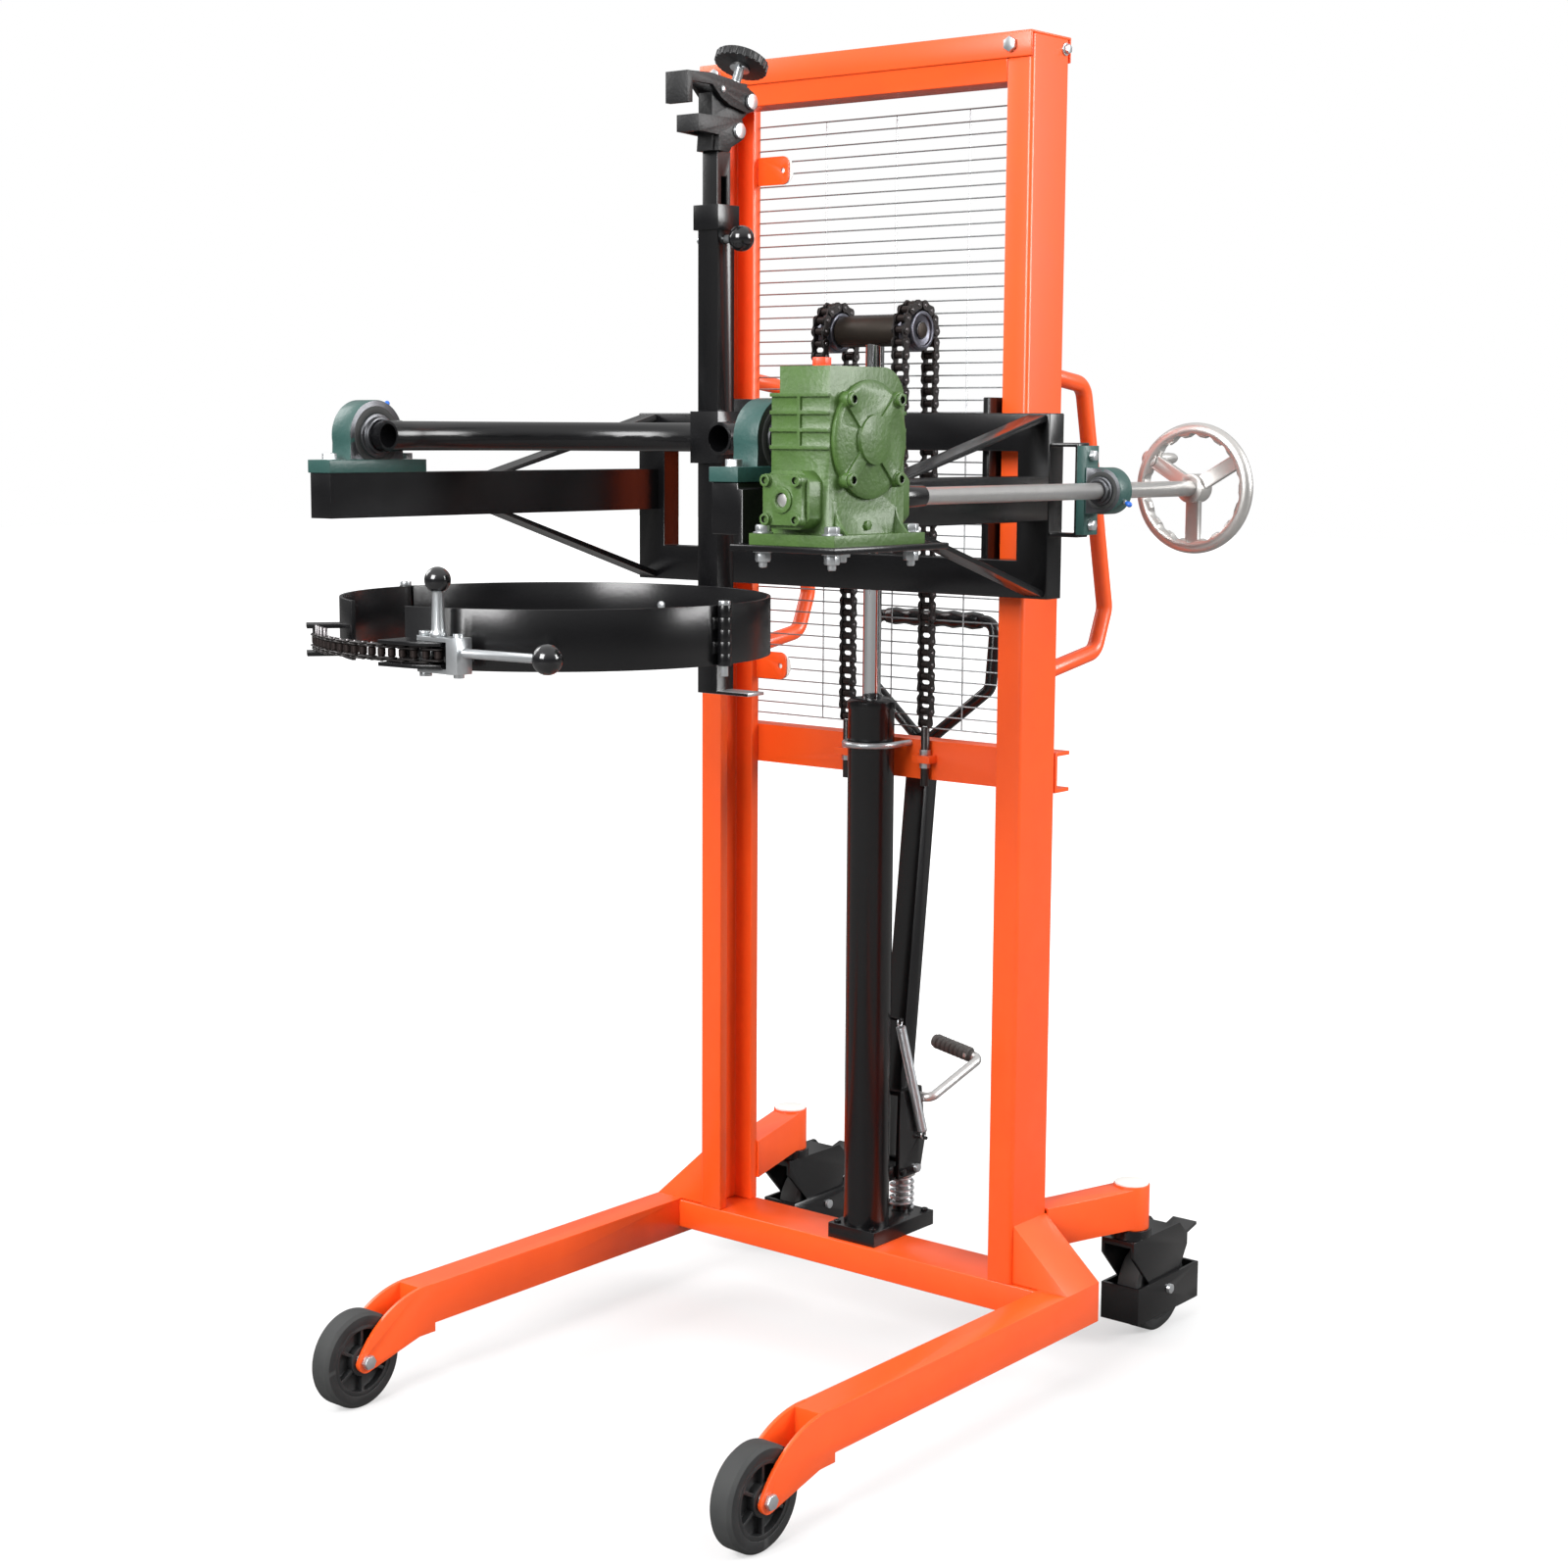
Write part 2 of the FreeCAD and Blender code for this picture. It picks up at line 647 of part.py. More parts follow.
def build_casters():
    """Swivel casters with toe guard, wheel and brake pedal."""
    for side, name in ((-1, "left"), (1, "right")):
        x = side * SOCKET_X
        axle = V(x, CASTER_Y, CASTER_RADIUS)
        half = CASTER_WIDTH / 2
        cheek_in = half + CASTER_GAP
        cheek_out = cheek_in + CASTER_CHEEK
        crown_low = CROWN_TOP - CROWN_THICK - CROWN_DROP
        swivel = V(x, SOCKET_Y, CROWN_TOP)
        stem = rod(STEM_RADIUS, swivel, swivel + AZ * (REAR_ARM_HEIGHT + SOCKET_RISE))
        race = rod(CROWN_RADIUS - 6, V(x, SOCKET_Y, crown_low), swivel)
        crown = block((x - cheek_out, x + cheek_out), (SOCKET_Y - CROWN_RADIUS, CASTER_Y + 26),
                      (crown_low - CROWN_THICK, crown_low))
        pieces = [stem, race, crown]
        for inner in (x - cheek_out, x + cheek_in):
            pieces.append(prism([V(inner, SOCKET_Y - CROWN_RADIUS, crown_low), V(inner, CASTER_Y + 40, crown_low),
                                 V(inner, CASTER_Y + PEDAL_PIVOT_BACK + 9, CASTER_RADIUS + PEDAL_PIVOT_UP + 8),
                                 V(inner, CASTER_Y + PEDAL_PIVOT_BACK + 9, CASTER_RADIUS + PEDAL_PIVOT_UP - 10),
                                 V(inner, CASTER_Y + 22, CASTER_RADIUS - 14),
                                 V(inner, CASTER_Y - 22, CASTER_RADIUS - 14),
                                 V(inner, SOCKET_Y - CROWN_RADIUS, crown_low - 26)], V(CASTER_CHEEK, 0, 0)))
        guard_y = (CASTER_Y - GUARD_LENGTH / 2, CASTER_Y + GUARD_LENGTH / 2)
        guard_z = (GUARD_BOTTOM, GUARD_BOTTOM + GUARD_HEIGHT)
        guard = block((x - cheek_out - GUARD_WALL, x + cheek_out + GUARD_WALL), guard_y, guard_z)
        hollow = block((x - cheek_out, x + cheek_out), (guard_y[0] + GUARD_WALL, guard_y[1] - GUARD_WALL),
                       (GUARD_BOTTOM - 1, GUARD_BOTTOM + GUARD_HEIGHT + 1))
        pieces.append(guard.cut(hollow))
        bolt = rod(AXLE_RADIUS, axle - AX * (cheek_out + GUARD_WALL + 6), axle + AX * (cheek_out + GUARD_WALL + 6))
        pieces.append(bolt)
        pivot = V(x, CASTER_Y + PEDAL_PIVOT_BACK, CASTER_RADIUS + PEDAL_PIVOT_UP)
        pieces.append(rod(PEDAL_PIN, pivot - AX * cheek_out, pivot + AX * cheek_out))
        add(name + "_caster_fork", fused(*pieces))
        add(name + "_caster_wheel", *wheel(axle, CASTER_RADIUS, half, AXLE_RADIUS + FIT, TYRE_THICK))
        add(name + "_brake_pedal", brake_pedal(pivot))


def brake_pedal(pivot):
    """Foot pedal behind the caster, on a cross pin."""
    reach = V(0, PEDAL_LENGTH, 12)
    wide = PEDAL_WIDTH / 2
    sleeve_half = CASTER_WIDTH / 2 + CASTER_GAP - 1
    low = pivot + V(-wide, 5, -1)
    plate = prism([low, low + V(0, 0, 5), low + reach + V(0, 0, 5), low + reach], V(PEDAL_WIDTH, 0, 0))
    sleeve = rod(PEDAL_PIN + 4, pivot - AX * sleeve_half, pivot + AX * sleeve_half)
    bore = rod(PEDAL_PIN + FIT, pivot - AX * 60, pivot + AX * 60)
    return fused(plate, sleeve).cut(bore)


def build_mast():
    """Posts, top and middle beams, wire guard and push handles."""
    inner, outer, lip = POST_INNER, POST_OUTER, POST_LIP
    web = outer - POST_WEB
    profile = [V(inner, 0, CROSS_TOP), V(outer, 0, CROSS_TOP), V(outer, POST_DEPTH, CROSS_TOP),
               V(inner, POST_DEPTH, CROSS_TOP), V(inner, POST_DEPTH - lip, CROSS_TOP),
               V(web, POST_DEPTH - lip, CROSS_TOP), V(web, lip, CROSS_TOP), V(inner, lip, CROSS_TOP)]
    post = prism(profile, V(0, 0, MAST_TOP - CAP_SHEET - CROSS_TOP))
    corners = [e for e in post.Edges if e.BoundBox.ZLength > 500 and abs(e.BoundBox.XMax - outer) < 0.01]
    post = post.makeFillet(POST_ROUND, corners)
    add("right_post", post)
    add("left_post", mirrored(post))
    cap = block((-outer, outer), (-CAP_SHEET, POST_DEPTH + CAP_SHEET), (MAST_TOP - CAP_HEIGHT, MAST_TOP))
    under = block((-outer - 1, outer + 1), (0, POST_DEPTH), (MAST_TOP - CAP_HEIGHT - 1, MAST_TOP - CAP_SHEET))
    bar = tube_box((-inner, inner), (0, TOP_BAR_DEPTH),
                   (MAST_TOP - CAP_SHEET - TOP_BAR_HEIGHT, MAST_TOP - CAP_SHEET), TUBE_WALL, "x")
    add("top_beam", fused(cap.cut(under), bar))
    for x in (-outer + 36, outer - 36):
        seat = V(x, -CAP_SHEET, MAST_TOP - CAP_HEIGHT / 2)
        add("frame_fasteners", hexagon(BOLT_HEAD, seat, seat - AY * BOLT_HEAD_THICK))
        rear = V(x, POST_DEPTH + CAP_SHEET, MAST_TOP - CAP_HEIGHT / 2)
        add("frame_fasteners", hexagon(BOLT_HEAD, rear, rear + AY * BOLT_HEAD_THICK))
    low, high = MID_BEAM_BOTTOM, MID_BEAM_BOTTOM + MID_BEAM_HEIGHT
    beam = block((-outer, outer), (MID_BEAM_FRONT, MID_BEAM_FRONT + MID_BEAM_DEPTH), (low, high))
    hollow = block((-outer - 1, outer + 1), (MID_BEAM_FRONT + MID_BEAM_WALL, MID_BEAM_FRONT + MID_BEAM_DEPTH + 1),
                   (low + MID_BEAM_WALL, high - MID_BEAM_WALL))
    lugs = []
    lug_z = low + MID_BEAM_HEIGHT * 0.45
    for side in (-1, 1):
        x = side * CHAIN_X
        lug = block((x - LUG_WIDTH / 2, x + LUG_WIDTH / 2),
                    (CHAIN_REAR_Y - ANCHOR_RADIUS - 6, MID_BEAM_FRONT), (lug_z, lug_z + LUG_THICK))
        hole = rod(ANCHOR_RADIUS + FIT, V(x, CHAIN_REAR_Y, lug_z - 1), V(x, CHAIN_REAR_Y, lug_z + LUG_THICK + 1))
        lugs.append(lug.cut(hole))
    add("mid_beam", fused(beam.cut(hollow), *lugs))
    build_anchors(lug_z)
    build_guard()
    right = push_handle()
    add("push_handles", right, mirrored(right))


def build_anchors(lug_z):
    """Threaded chain ends in the lugs and the strap that holds the cylinder."""
    for side in (-1, 1):
        foot = V(side * CHAIN_X, CHAIN_REAR_Y, lug_z - ANCHOR_LENGTH * 0.4)
        top = foot + AZ * ANCHOR_LENGTH
        stud = rod(ANCHOR_RADIUS, foot, top)
        over = V(foot.x, foot.y, lug_z + LUG_THICK)
        below = V(foot.x, foot.y, lug_z)
        nuts = [hexagon(NUT_RADIUS - 3, over, over + AZ * NUT_THICK),
                hexagon(NUT_RADIUS - 3, below, below - AZ * NUT_THICK)]
        add("mid_beam_fittings", fused(stud, *nuts))
    bend = CYL_RADIUS + CLAMP_WIRE
    z = lug_z + LUG_THICK + NUT_THICK + 8
    path = Part.Wire([Part.LineSegment(V(-bend, MID_BEAM_FRONT, z), V(-bend, CYL_Y, z)).toShape(),
                      Part.Arc(V(-bend, CYL_Y, z), V(0, CYL_Y - bend, z), V(bend, CYL_Y, z)).toShape(),
                      Part.LineSegment(V(bend, CYL_Y, z), V(bend, MID_BEAM_FRONT, z)).toShape()])
    add("mid_beam_fittings", swept(path, CLAMP_WIRE))


def build_guard():
    """Wire guard behind the posts: one flat net with its gaps, and its tabs."""
    high = MESH_TOP
    low = high - MESH_ROWS * MESH_PITCH
    y = POST_DEPTH
    half = MESH_WIRE / 2
    face = Part.Face(Part.makePolygon([V(-MESH_HALF, y, low - half), V(MESH_HALF, y, low - half),
                                       V(MESH_HALF, y, high + half), V(-MESH_HALF, y, high + half),
                                       V(-MESH_HALF, y, low - half)]))
    step = (2 * MESH_HALF - MESH_WIRE) / MESH_COLUMNS
    holes = []
    for row in range(MESH_ROWS):
        z0 = low + row * MESH_PITCH + half
        z1 = z0 + MESH_PITCH - MESH_WIRE
        for column in range(MESH_COLUMNS):
            x0 = -MESH_HALF + MESH_WIRE + column * step
            x1 = x0 + step - MESH_WIRE
            loop = Part.makePolygon([V(x0, y, z0), V(x1, y, z0), V(x1, y, z1), V(x0, y, z1), V(x0, y, z0)])
            holes.append(Part.Face(loop))
    add("wire_guard", face.cut(Part.Compound(holes)).extrude(V(0, MESH_WIRE, 0)))


def push_handle():
    """Right push handle: a bent tube on the rear of the post."""
    x = POST_OUTER - 20
    rear = POST_DEPTH
    points = [V(x, rear - 20, 1586), V(x, rear + 88, 1572), V(x, rear + 166, 1218), V(x, rear + 138, 1150),
              V(x, rear - 20, 1124)]
    tube = bent_tube(points, HANDLE_BEND, HANDLE_TUBE, HANDLE_TUBE - HANDLE_WALL)
    return tube.cut(block((0, 2 * x), (rear - 60, rear), (1000, 1700)))


def build_hydraulics():
    """Cylinder foot and tube, piston with crosshead, and chain pulleys."""
    foot = block((-FOOT_WIDTH / 2, FOOT_WIDTH / 2), (FOOT_FRONT, FOOT_REAR), (CROSS_TOP, FOOT_TOP))
    cup = ring(PLUNGER_RADIUS + 4, PLUNGER_RADIUS + ROD_CLEAR, V(0, PUMP_Y, FOOT_TOP),
               V(0, PUMP_Y, FOOT_TOP + PUMP_CUP_HEIGHT))
    well = rod(PLUNGER_RADIUS + ROD_CLEAR, V(0, PUMP_Y, CROSS_TOP + 1), V(0, PUMP_Y, FOOT_TOP + 1))
    add("cylinder_foot", fused(foot, cup).cut(well))
    base, top = V(0, CYL_Y, FOOT_TOP), V(0, CYL_Y, CYL_TOP)
    gland = turned([(0, 0), (GLAND_HEIGHT, 0), (GLAND_HEIGHT, GLAND_RADIUS - 6),
                    (GLAND_HEIGHT - 5, GLAND_RADIUS), (0, GLAND_RADIUS)],
                   V(0, CYL_Y, CYL_TOP - GLAND_HEIGHT / 2), AZ, AX)
    bore = rod(ROD_RADIUS + ROD_CLEAR, V(0, CYL_Y, CYL_TOP - ROD_BORE_DEPTH), V(0, CYL_Y, CYL_TOP + GLAND_HEIGHT))
    ears = []
    pivot = V(0, PIVOT_Y, PUMP_Z)
    ear_in = ROCKER_WIDTH / 2 - ROCKER_PLATE - 2
    ears.append(block((-ear_in, ear_in), (CYL_Y + CYL_RADIUS - 4, PIVOT_Y + 9), (PUMP_Z - 12, PUMP_Z + 12)))
    ears.append(rod(6, pivot - AX * (ROCKER_WIDTH / 2 + 4), pivot + AX * (ROCKER_WIDTH / 2 + 4)))
    hook = rod(3, V(0, SPRING_HOOK_Y, SPRING_HOOK_Z), V(SPRING_HOOK_X + 6, SPRING_HOOK_Y, SPRING_HOOK_Z))
    tube = fused(rod(CYL_RADIUS, base, top), gland, hook, *ears).cut(bore)
    add("lift_cylinder", tube)
    piston = rod(ROD_RADIUS, V(0, CYL_Y, CROSS_Z - (CROSS_Z - CYL_TOP) - ROD_FOOT), V(0, CYL_Y, CROSS_Z))
    reach = CHAIN_X - PULLEY_WIDTH / 2 - PULLEY_CLEAR
    axis = V(0, CYL_Y, CROSS_Z)
    tube = rod(CROSS_RADIUS, axis - AX * reach, axis + AX * reach)
    pin_end = CHAIN_X + PULLEY_WIDTH / 2 - PULLEY_RECESS + 3
    pin = rod(PIN_RADIUS, axis - AX * pin_end, axis + AX * pin_end)
    add("piston_rod", fused(piston, tube, pin))
    for side in (-1, 1):
        centre = axis + AX * (side * CHAIN_X)
        add("chain_pulleys", pulley(centre))


def pulley(centre):
    """Plain chain pulley with a raised middle and recessed faces."""
    half = PULLEY_WIDTH / 2
    groove = CHAIN_RADIUS * math.cos(math.pi / (2 * WRAP_LINKS)) - PLATE_HEIGHT / 2 - PULLEY_CLEAR
    bore = PIN_RADIUS + FIT
    body = turned([(-half, PULLEY_FACE - 9), (-half, groove), (-ROLLER_WIDTH / 2 + 1.2, groove),
                   (-ROLLER_WIDTH / 2 + 1.2, CHAIN_RADIUS - ROLLER_RADIUS - PULLEY_CLEAR),
                   (ROLLER_WIDTH / 2 - 1.2, CHAIN_RADIUS - ROLLER_RADIUS - PULLEY_CLEAR),
                   (ROLLER_WIDTH / 2 - 1.2, groove), (half, groove), (half, PULLEY_FACE - 9),
                   (half - PULLEY_RECESS, PULLEY_FACE - 9), (half - PULLEY_RECESS, bore),
                   (PULLEY_RECESS - half, bore), (PULLEY_RECESS - half, PULLEY_FACE - 9)], centre, AX, AZ)
    return body


def chain_link(place, along, across, wide, pitch, tall, outer):
    """One pitch of roller chain: two side plates and a roller at its start."""
    normal = along.cross(across)
    thick = PLATE_THICK if wide > 20 else 1.6
    offset = wide / 2 - thick if outer else wide / 2 - 2 * thick - 0.1
    reach = tall * 0.42
    solids = []
    for side in (-1, 1):
        near = offset if side > 0 else -offset - thick
        corner = place + across * near
        outline = [corner - along * reach, corner - along * (reach * 0.4) + normal * (tall / 2),
                   corner + along * (pitch + reach * 0.4) + normal * (tall / 2),
                   corner + along * (pitch + reach),
                   corner + along * (pitch + reach * 0.4) - normal * (tall / 2),
                   corner - along * (reach * 0.4) - normal * (tall / 2)]
        solids.append(prism(outline, across * thick))
    return solids


def chain_roller(place, across, wide, radius):
    """Roller of a chain, between its inner plates."""
    start = place - across * (wide / 2)
    return hexagon(radius, start, place + across * (wide / 2))


def straight_chain(node, top, down, count, across, pitch, wide, tall, roller, first_roller):
    """Hanging strand of links from a point."""
    for i in range(count):
        place = top + down * (i * pitch)
        add(node, *chain_link(place, down, across, wide, pitch, tall, i % 2 == 1))
        if i or first_roller:
            add(node, chain_roller(place, across, ROLLER_WIDTH, roller))


def build_chains():
    """Lift chains: rear strand to the mast, wrap over the pulley, front strand to the carriage."""
    anchor_top = MID_BEAM_BOTTOM + MID_BEAM_HEIGHT * 0.45 + ANCHOR_LENGTH * 0.6
    reach = PLATE_HEIGHT * 0.42 + 0.4
    rear_count = int((CROSS_Z - anchor_top) / CHAIN_PITCH)
    rear_pitch = (CROSS_Z - anchor_top - reach) / rear_count
    front_end = FRAME_BOTTOM + FRAME_MEMBER + 8
    front_count = int((CROSS_Z - front_end) / CHAIN_PITCH)
    front_pitch = (CROSS_Z - front_end - reach) / front_count
    for side in (-1, 1):
        x = side * CHAIN_X
        straight_chain("rear_chains", V(x, CHAIN_REAR_Y, CROSS_Z), V(0, 0, -1), rear_count, AX,
                       rear_pitch, CHAIN_WIDTH, PLATE_HEIGHT, ROLLER_RADIUS, False)
        straight_chain("front_chains", V(x, CHAIN_FRONT_Y, CROSS_Z), V(0, 0, -1), front_count, AX,
                       front_pitch, CHAIN_WIDTH, PLATE_HEIGHT, ROLLER_RADIUS, True)
        for i in range(WRAP_LINKS):
            turn0 = math.pi * i / WRAP_LINKS
            turn1 = math.pi * (i + 1) / WRAP_LINKS
            spots = []
            for turn in (turn0, turn1):
                spots.append(V(x, CYL_Y + CHAIN_RADIUS * math.cos(turn), CROSS_Z + CHAIN_RADIUS * math.sin(turn)))
            run = spots[1] - spots[0]
            add("wrap_chains", *chain_link(spots[0], V(run).normalize(), AX, CHAIN_WIDTH, run.Length,
                                           PLATE_HEIGHT, i % 2 == 0))
            add("wrap_chains", chain_roller(spots[0], AX, ROLLER_WIDTH, ROLLER_RADIUS))


def build_pump():
    """Pump plunger, springs, hand lever and foot pedal."""
    foot = V(0, PUMP_Y, FOOT_TOP + 1)
    head = V(0, PUMP_Y, PUMP_Z - ROLLER_PUMP - FIT)
    cap = rod(SPRING_RADIUS + 4, head - AZ * 5, head)
    add("pump_plunger", fused(rod(PLUNGER_RADIUS, foot, head), cap))
    seat = FOOT_TOP + SPRING_WIRE + 0.2
    pitch = (head.z - 5 - SPRING_WIRE - 0.2 - seat) / SPRING_TURNS
    add("plunger_spring", coil(V(0, PUMP_Y, seat), AZ, AX, SPRING_RADIUS, pitch, SPRING_TURNS, SPRING_WIRE))
    pivot = V(0, PIVOT_Y, PUMP_Z)
    roller = V(0, PUMP_Y, PUMP_Z)
    half = ROCKER_WIDTH / 2
    cheek_top = PUMP_Z + ROCKER_RISE
    cheeks = []
    for x in (-half, half - ROCKER_PLATE):
        cheek = prism([V(x, PIVOT_Y - 12, PUMP_Z - 10), V(x, PUMP_Y + 8, PUMP_Z - 10), V(x, PUMP_Y + 14, PUMP_Z),
                       V(x, PUMP_Y + 26, PUMP_Z + 48), V(x, PUMP_Y + 14, cheek_top), V(x, PIVOT_Y - 8, cheek_top),
                       V(x, PIVOT_Y - 12, PUMP_Z + 40)], V(ROCKER_PLATE, 0, 0))
        cheeks.append(cheek.cut(rod(6 + FIT, pivot - AX * 60, pivot + AX * 60)))
    bridge = block((-half, half), (PIVOT_Y - 8, PUMP_Y + 14), (cheek_top - 8, cheek_top))
    pin = rod(7, roller - AX * (half + 6), roller + AX * (half + 6))
    wheel_roller = rod(ROLLER_PUMP, roller - AX * (half - ROCKER_PLATE - 2), roller + AX * (half - ROCKER_PLATE - 2))
    lean = math.radians(LEVER_LEAN)
    up = V(0, math.sin(lean), math.cos(lean))
    back = V(0, math.cos(lean), -math.sin(lean))
    start = V(0, (PIVOT_Y + PUMP_Y) / 2, cheek_top - 8)
    run = (LEVER_TOP - LOOP_HEIGHT - start.z) / up.z
    corner = start - AX * (LEVER_WIDE / 2) - back * (LEVER_DEEP / 2)
    bar = prism([corner, corner + AX * LEVER_WIDE, corner + AX * LEVER_WIDE + back * LEVER_DEEP,
                 corner + back * LEVER_DEEP], up * run)
    hook = rod(3, V(half - 1, HOOK_LOW_Y, HOOK_LOW_Z), V(half + 16, HOOK_LOW_Y, HOOK_LOW_Z))
    neck = start + up * run
    top = neck + up * LOOP_HEIGHT
    wide = LOOP_WIDTH / 2
    loop_points = [neck - AX * 14, neck - AX * wide + up * (LOOP_HEIGHT * 0.45), top - AX * wide, top + AX * wide,
                   neck + AX * wide + up * (LOOP_HEIGHT * 0.45), neck + AX * 14]
    loop = bent_tube(loop_points, 22, LOOP_TUBE)
    add("pump_lever", fused(*cheeks, bridge, pin, wheel_roller, bar, hook, loop))
    grip_half = wide - 26
    waves = [(-grip_half, LOOP_TUBE + 0.2)]
    for i in range(5):
        left = -grip_half + 2 * grip_half * i / 5
        waves += [(left + 3, GRIP_RADIUS - 2.5), (left + grip_half / 5, GRIP_RADIUS),
                  (left + 2 * grip_half / 5 - 3, GRIP_RADIUS - 2.5)]
    waves.append((grip_half, LOOP_TUBE + 0.2))
    add("pump_lever", turned(waves, top, AX, up))
    build_tension_spring(half)
    build_pedal(half, cheek_top)


def build_tension_spring(half):
    """Return spring from the cylinder hook to the rocker."""
    low = V(half + 10, HOOK_LOW_Y, HOOK_LOW_Z)
    high = V(SPRING_HOOK_X, SPRING_HOOK_Y, SPRING_HOOK_Z)
    axis = V(high - low).normalize()
    side = axis.cross(AY).normalize()
    inset = 3 + TENSION_WIRE + 0.2
    length = (high - low).Length - 2 * inset
    pitch = length / TENSION_TURNS
    add("return_spring", coil(low + axis * inset, axis, side, TENSION_RADIUS, pitch, TENSION_TURNS, TENSION_WIRE))


def build_pedal(half, cheek_top):
    """Bent foot pedal with a ribbed grip."""
    start = V(half, PUMP_Y + 4, cheek_top - 16)
    elbow = V(half + 26, PUMP_Y + 4, cheek_top - 16)
    out = V(half + 28, PUMP_Y + 144, cheek_top + 26)
    end = V(-34, PUMP_Y + 150, cheek_top + 40)
    add("foot_pedal", bent_tube([start, elbow, out, end], 14, PEDAL_ROD))
    along = V(end - out).normalize()
    length = 78.0
    first = end - along * (length - 6)
    ribs = [(0, PEDAL_ROD + 0.2), (0, PEDAL_GRIP - 2)]
    step = length / PEDAL_RIBS
    for i in range(PEDAL_RIBS):
        ribs += [(i * step + step * 0.2, PEDAL_GRIP), (i * step + step * 0.7, PEDAL_GRIP),
                 (i * step + step, PEDAL_GRIP - 2)]
    ribs += [(length + 3, PEDAL_GRIP - 2), (length + 3, 0), (length - 5.6, 0), (length - 5.6, PEDAL_ROD + 0.2)]
    side = along.cross(AZ).normalize()
    add("foot_pedal", turned(ribs, first, along, side))


def build_carriage():
    """Mitred carriage frame with guide plates, arms, braces, guide rollers and chain lugs."""
    half, member = FRAME_HALF, FRAME_MEMBER
    outer = block((-half, half), (FRAME_FRONT, FRAME_REAR), (FRAME_BOTTOM, FRAME_TOP))
    inner = block((-half + member, half - member), (FRAME_FRONT - 1, FRAME_REAR + 1),
                  (FRAME_BOTTOM + member, FRAME_TOP - member))
    pieces = [outer.cut(inner)]
    axle_low = FRAME_BOTTOM + GUIDE_INSET
    axle_high = FRAME_TOP - GUIDE_INSET + 30
    for side in (-1, 1):
        plate_out = GUIDE_PLATE_X + GUIDE_PLATE
        x = sorted((side * GUIDE_PLATE_X, side * plate_out))
        add("carriage_frame", block(x, (FRAME_REAR, CYL_Y + 26), (FRAME_BOTTOM + 10, FRAME_TOP + 24)))
        for z in (axle_low, axle_high):
            start = V(side * plate_out, CYL_Y, z)
            end = V(side * (POST_INNER + 2 + GUIDE_WIDTH + 1), CYL_Y, z)
            add("carriage_frame", rod(GUIDE_PIN, start, end))
        lug_x = side * CHAIN_X
        pieces.append(block((lug_x - 14, lug_x + 14), (FRAME_REAR, CHAIN_FRONT_Y + 12),
                            (FRAME_BOTTOM + member - 6, FRAME_BOTTOM + member + 8)))
    pieces.append(drive_bracket())
    add("carriage_frame", fused(*pieces))
    for name, z in (("lower_guide_rollers", axle_low), ("upper_guide_rollers", axle_high)):
        for side in (-1, 1):
            start = V(side * (POST_INNER + 2), CYL_Y, z)
            end = V(side * (POST_INNER + 2 + GUIDE_WIDTH), CYL_Y, z)
            add(name, ring(GUIDE_RADIUS, GUIDE_PIN + FIT, start, end))
    right = carriage_arm()
    add("left_arm", mirrored(right))
    add("right_arm", fused(right, gear_shelf()))


def carriage_arm():
    """Right arm tube with its upper and lower brace."""
    x = (ARM_OUTER - ARM_WIDTH, ARM_OUTER)
    arm = tube_box(x, (ARM_FRONT, FRAME_FRONT), (ARM_BOTTOM, ARM_TOP), TUBE_WALL, "y")
    cap = block(x, (ARM_FRONT, ARM_FRONT + TUBE_WALL), (ARM_BOTTOM, ARM_TOP))
    side = ARM_X - BRACE_WIDTH / 2
    sweep = V(BRACE_WIDTH, 0, 0)
    up = prism([V(side, BRACE_START, ARM_TOP), V(side, BRACE_START + 26, ARM_TOP),
                V(side, FRAME_FRONT, FRAME_TOP - 12), V(side, FRAME_FRONT, FRAME_TOP - 2)], sweep)
    down = prism([V(side, BRACE_START, ARM_BOTTOM), V(side, BRACE_START + 22, ARM_BOTTOM),
                  V(side, FRAME_FRONT, FRAME_BOTTOM + 13), V(side, FRAME_FRONT, FRAME_BOTTOM + 3)], sweep)
    return fused(arm, cap, up, down)


def gear_shelf():
    """Plate on the right arm that carries the gearbox."""
    low = SHELF_TOP - SHELF_THICK
    floor = block((ARM_OUTER, SHELF_OUTER), (SHELF_FRONT, SHELF_REAR), (low, SHELF_TOP))
    wall = block((ARM_OUTER, ARM_OUTER + SHELF_THICK), (ARM_FRONT, SHELF_REAR), (low, ARM_TOP - SHELF_THICK))
    return fused(floor, wall)


def drive_bracket():
    """Bent strip on the carriage side that carries the drive rod bearing."""
    deep = DRIVE_X - ROD_BLOCK_RISE - FRAME_HALF
    low = WORM_Z - ROD_BLOCK_LENGTH / 2 - 4
    high = WORM_Z + ROD_BLOCK_LENGTH / 2 + 4
    middle = FRAME_FRONT + FRAME_DEPTH / 2
    y = (middle - BRACKET_WIDTH / 2, middle + BRACKET_WIDTH / 2)
    outer = block((FRAME_HALF, FRAME_HALF + deep), y, (low, high))
    inner = block((FRAME_HALF - 1, FRAME_HALF + deep - BRACKET_STRIP), (y[0] - 1, y[1] + 1),
                  (low + BRACKET_STRIP, high - BRACKET_STRIP))
    return outer.cut(inner)


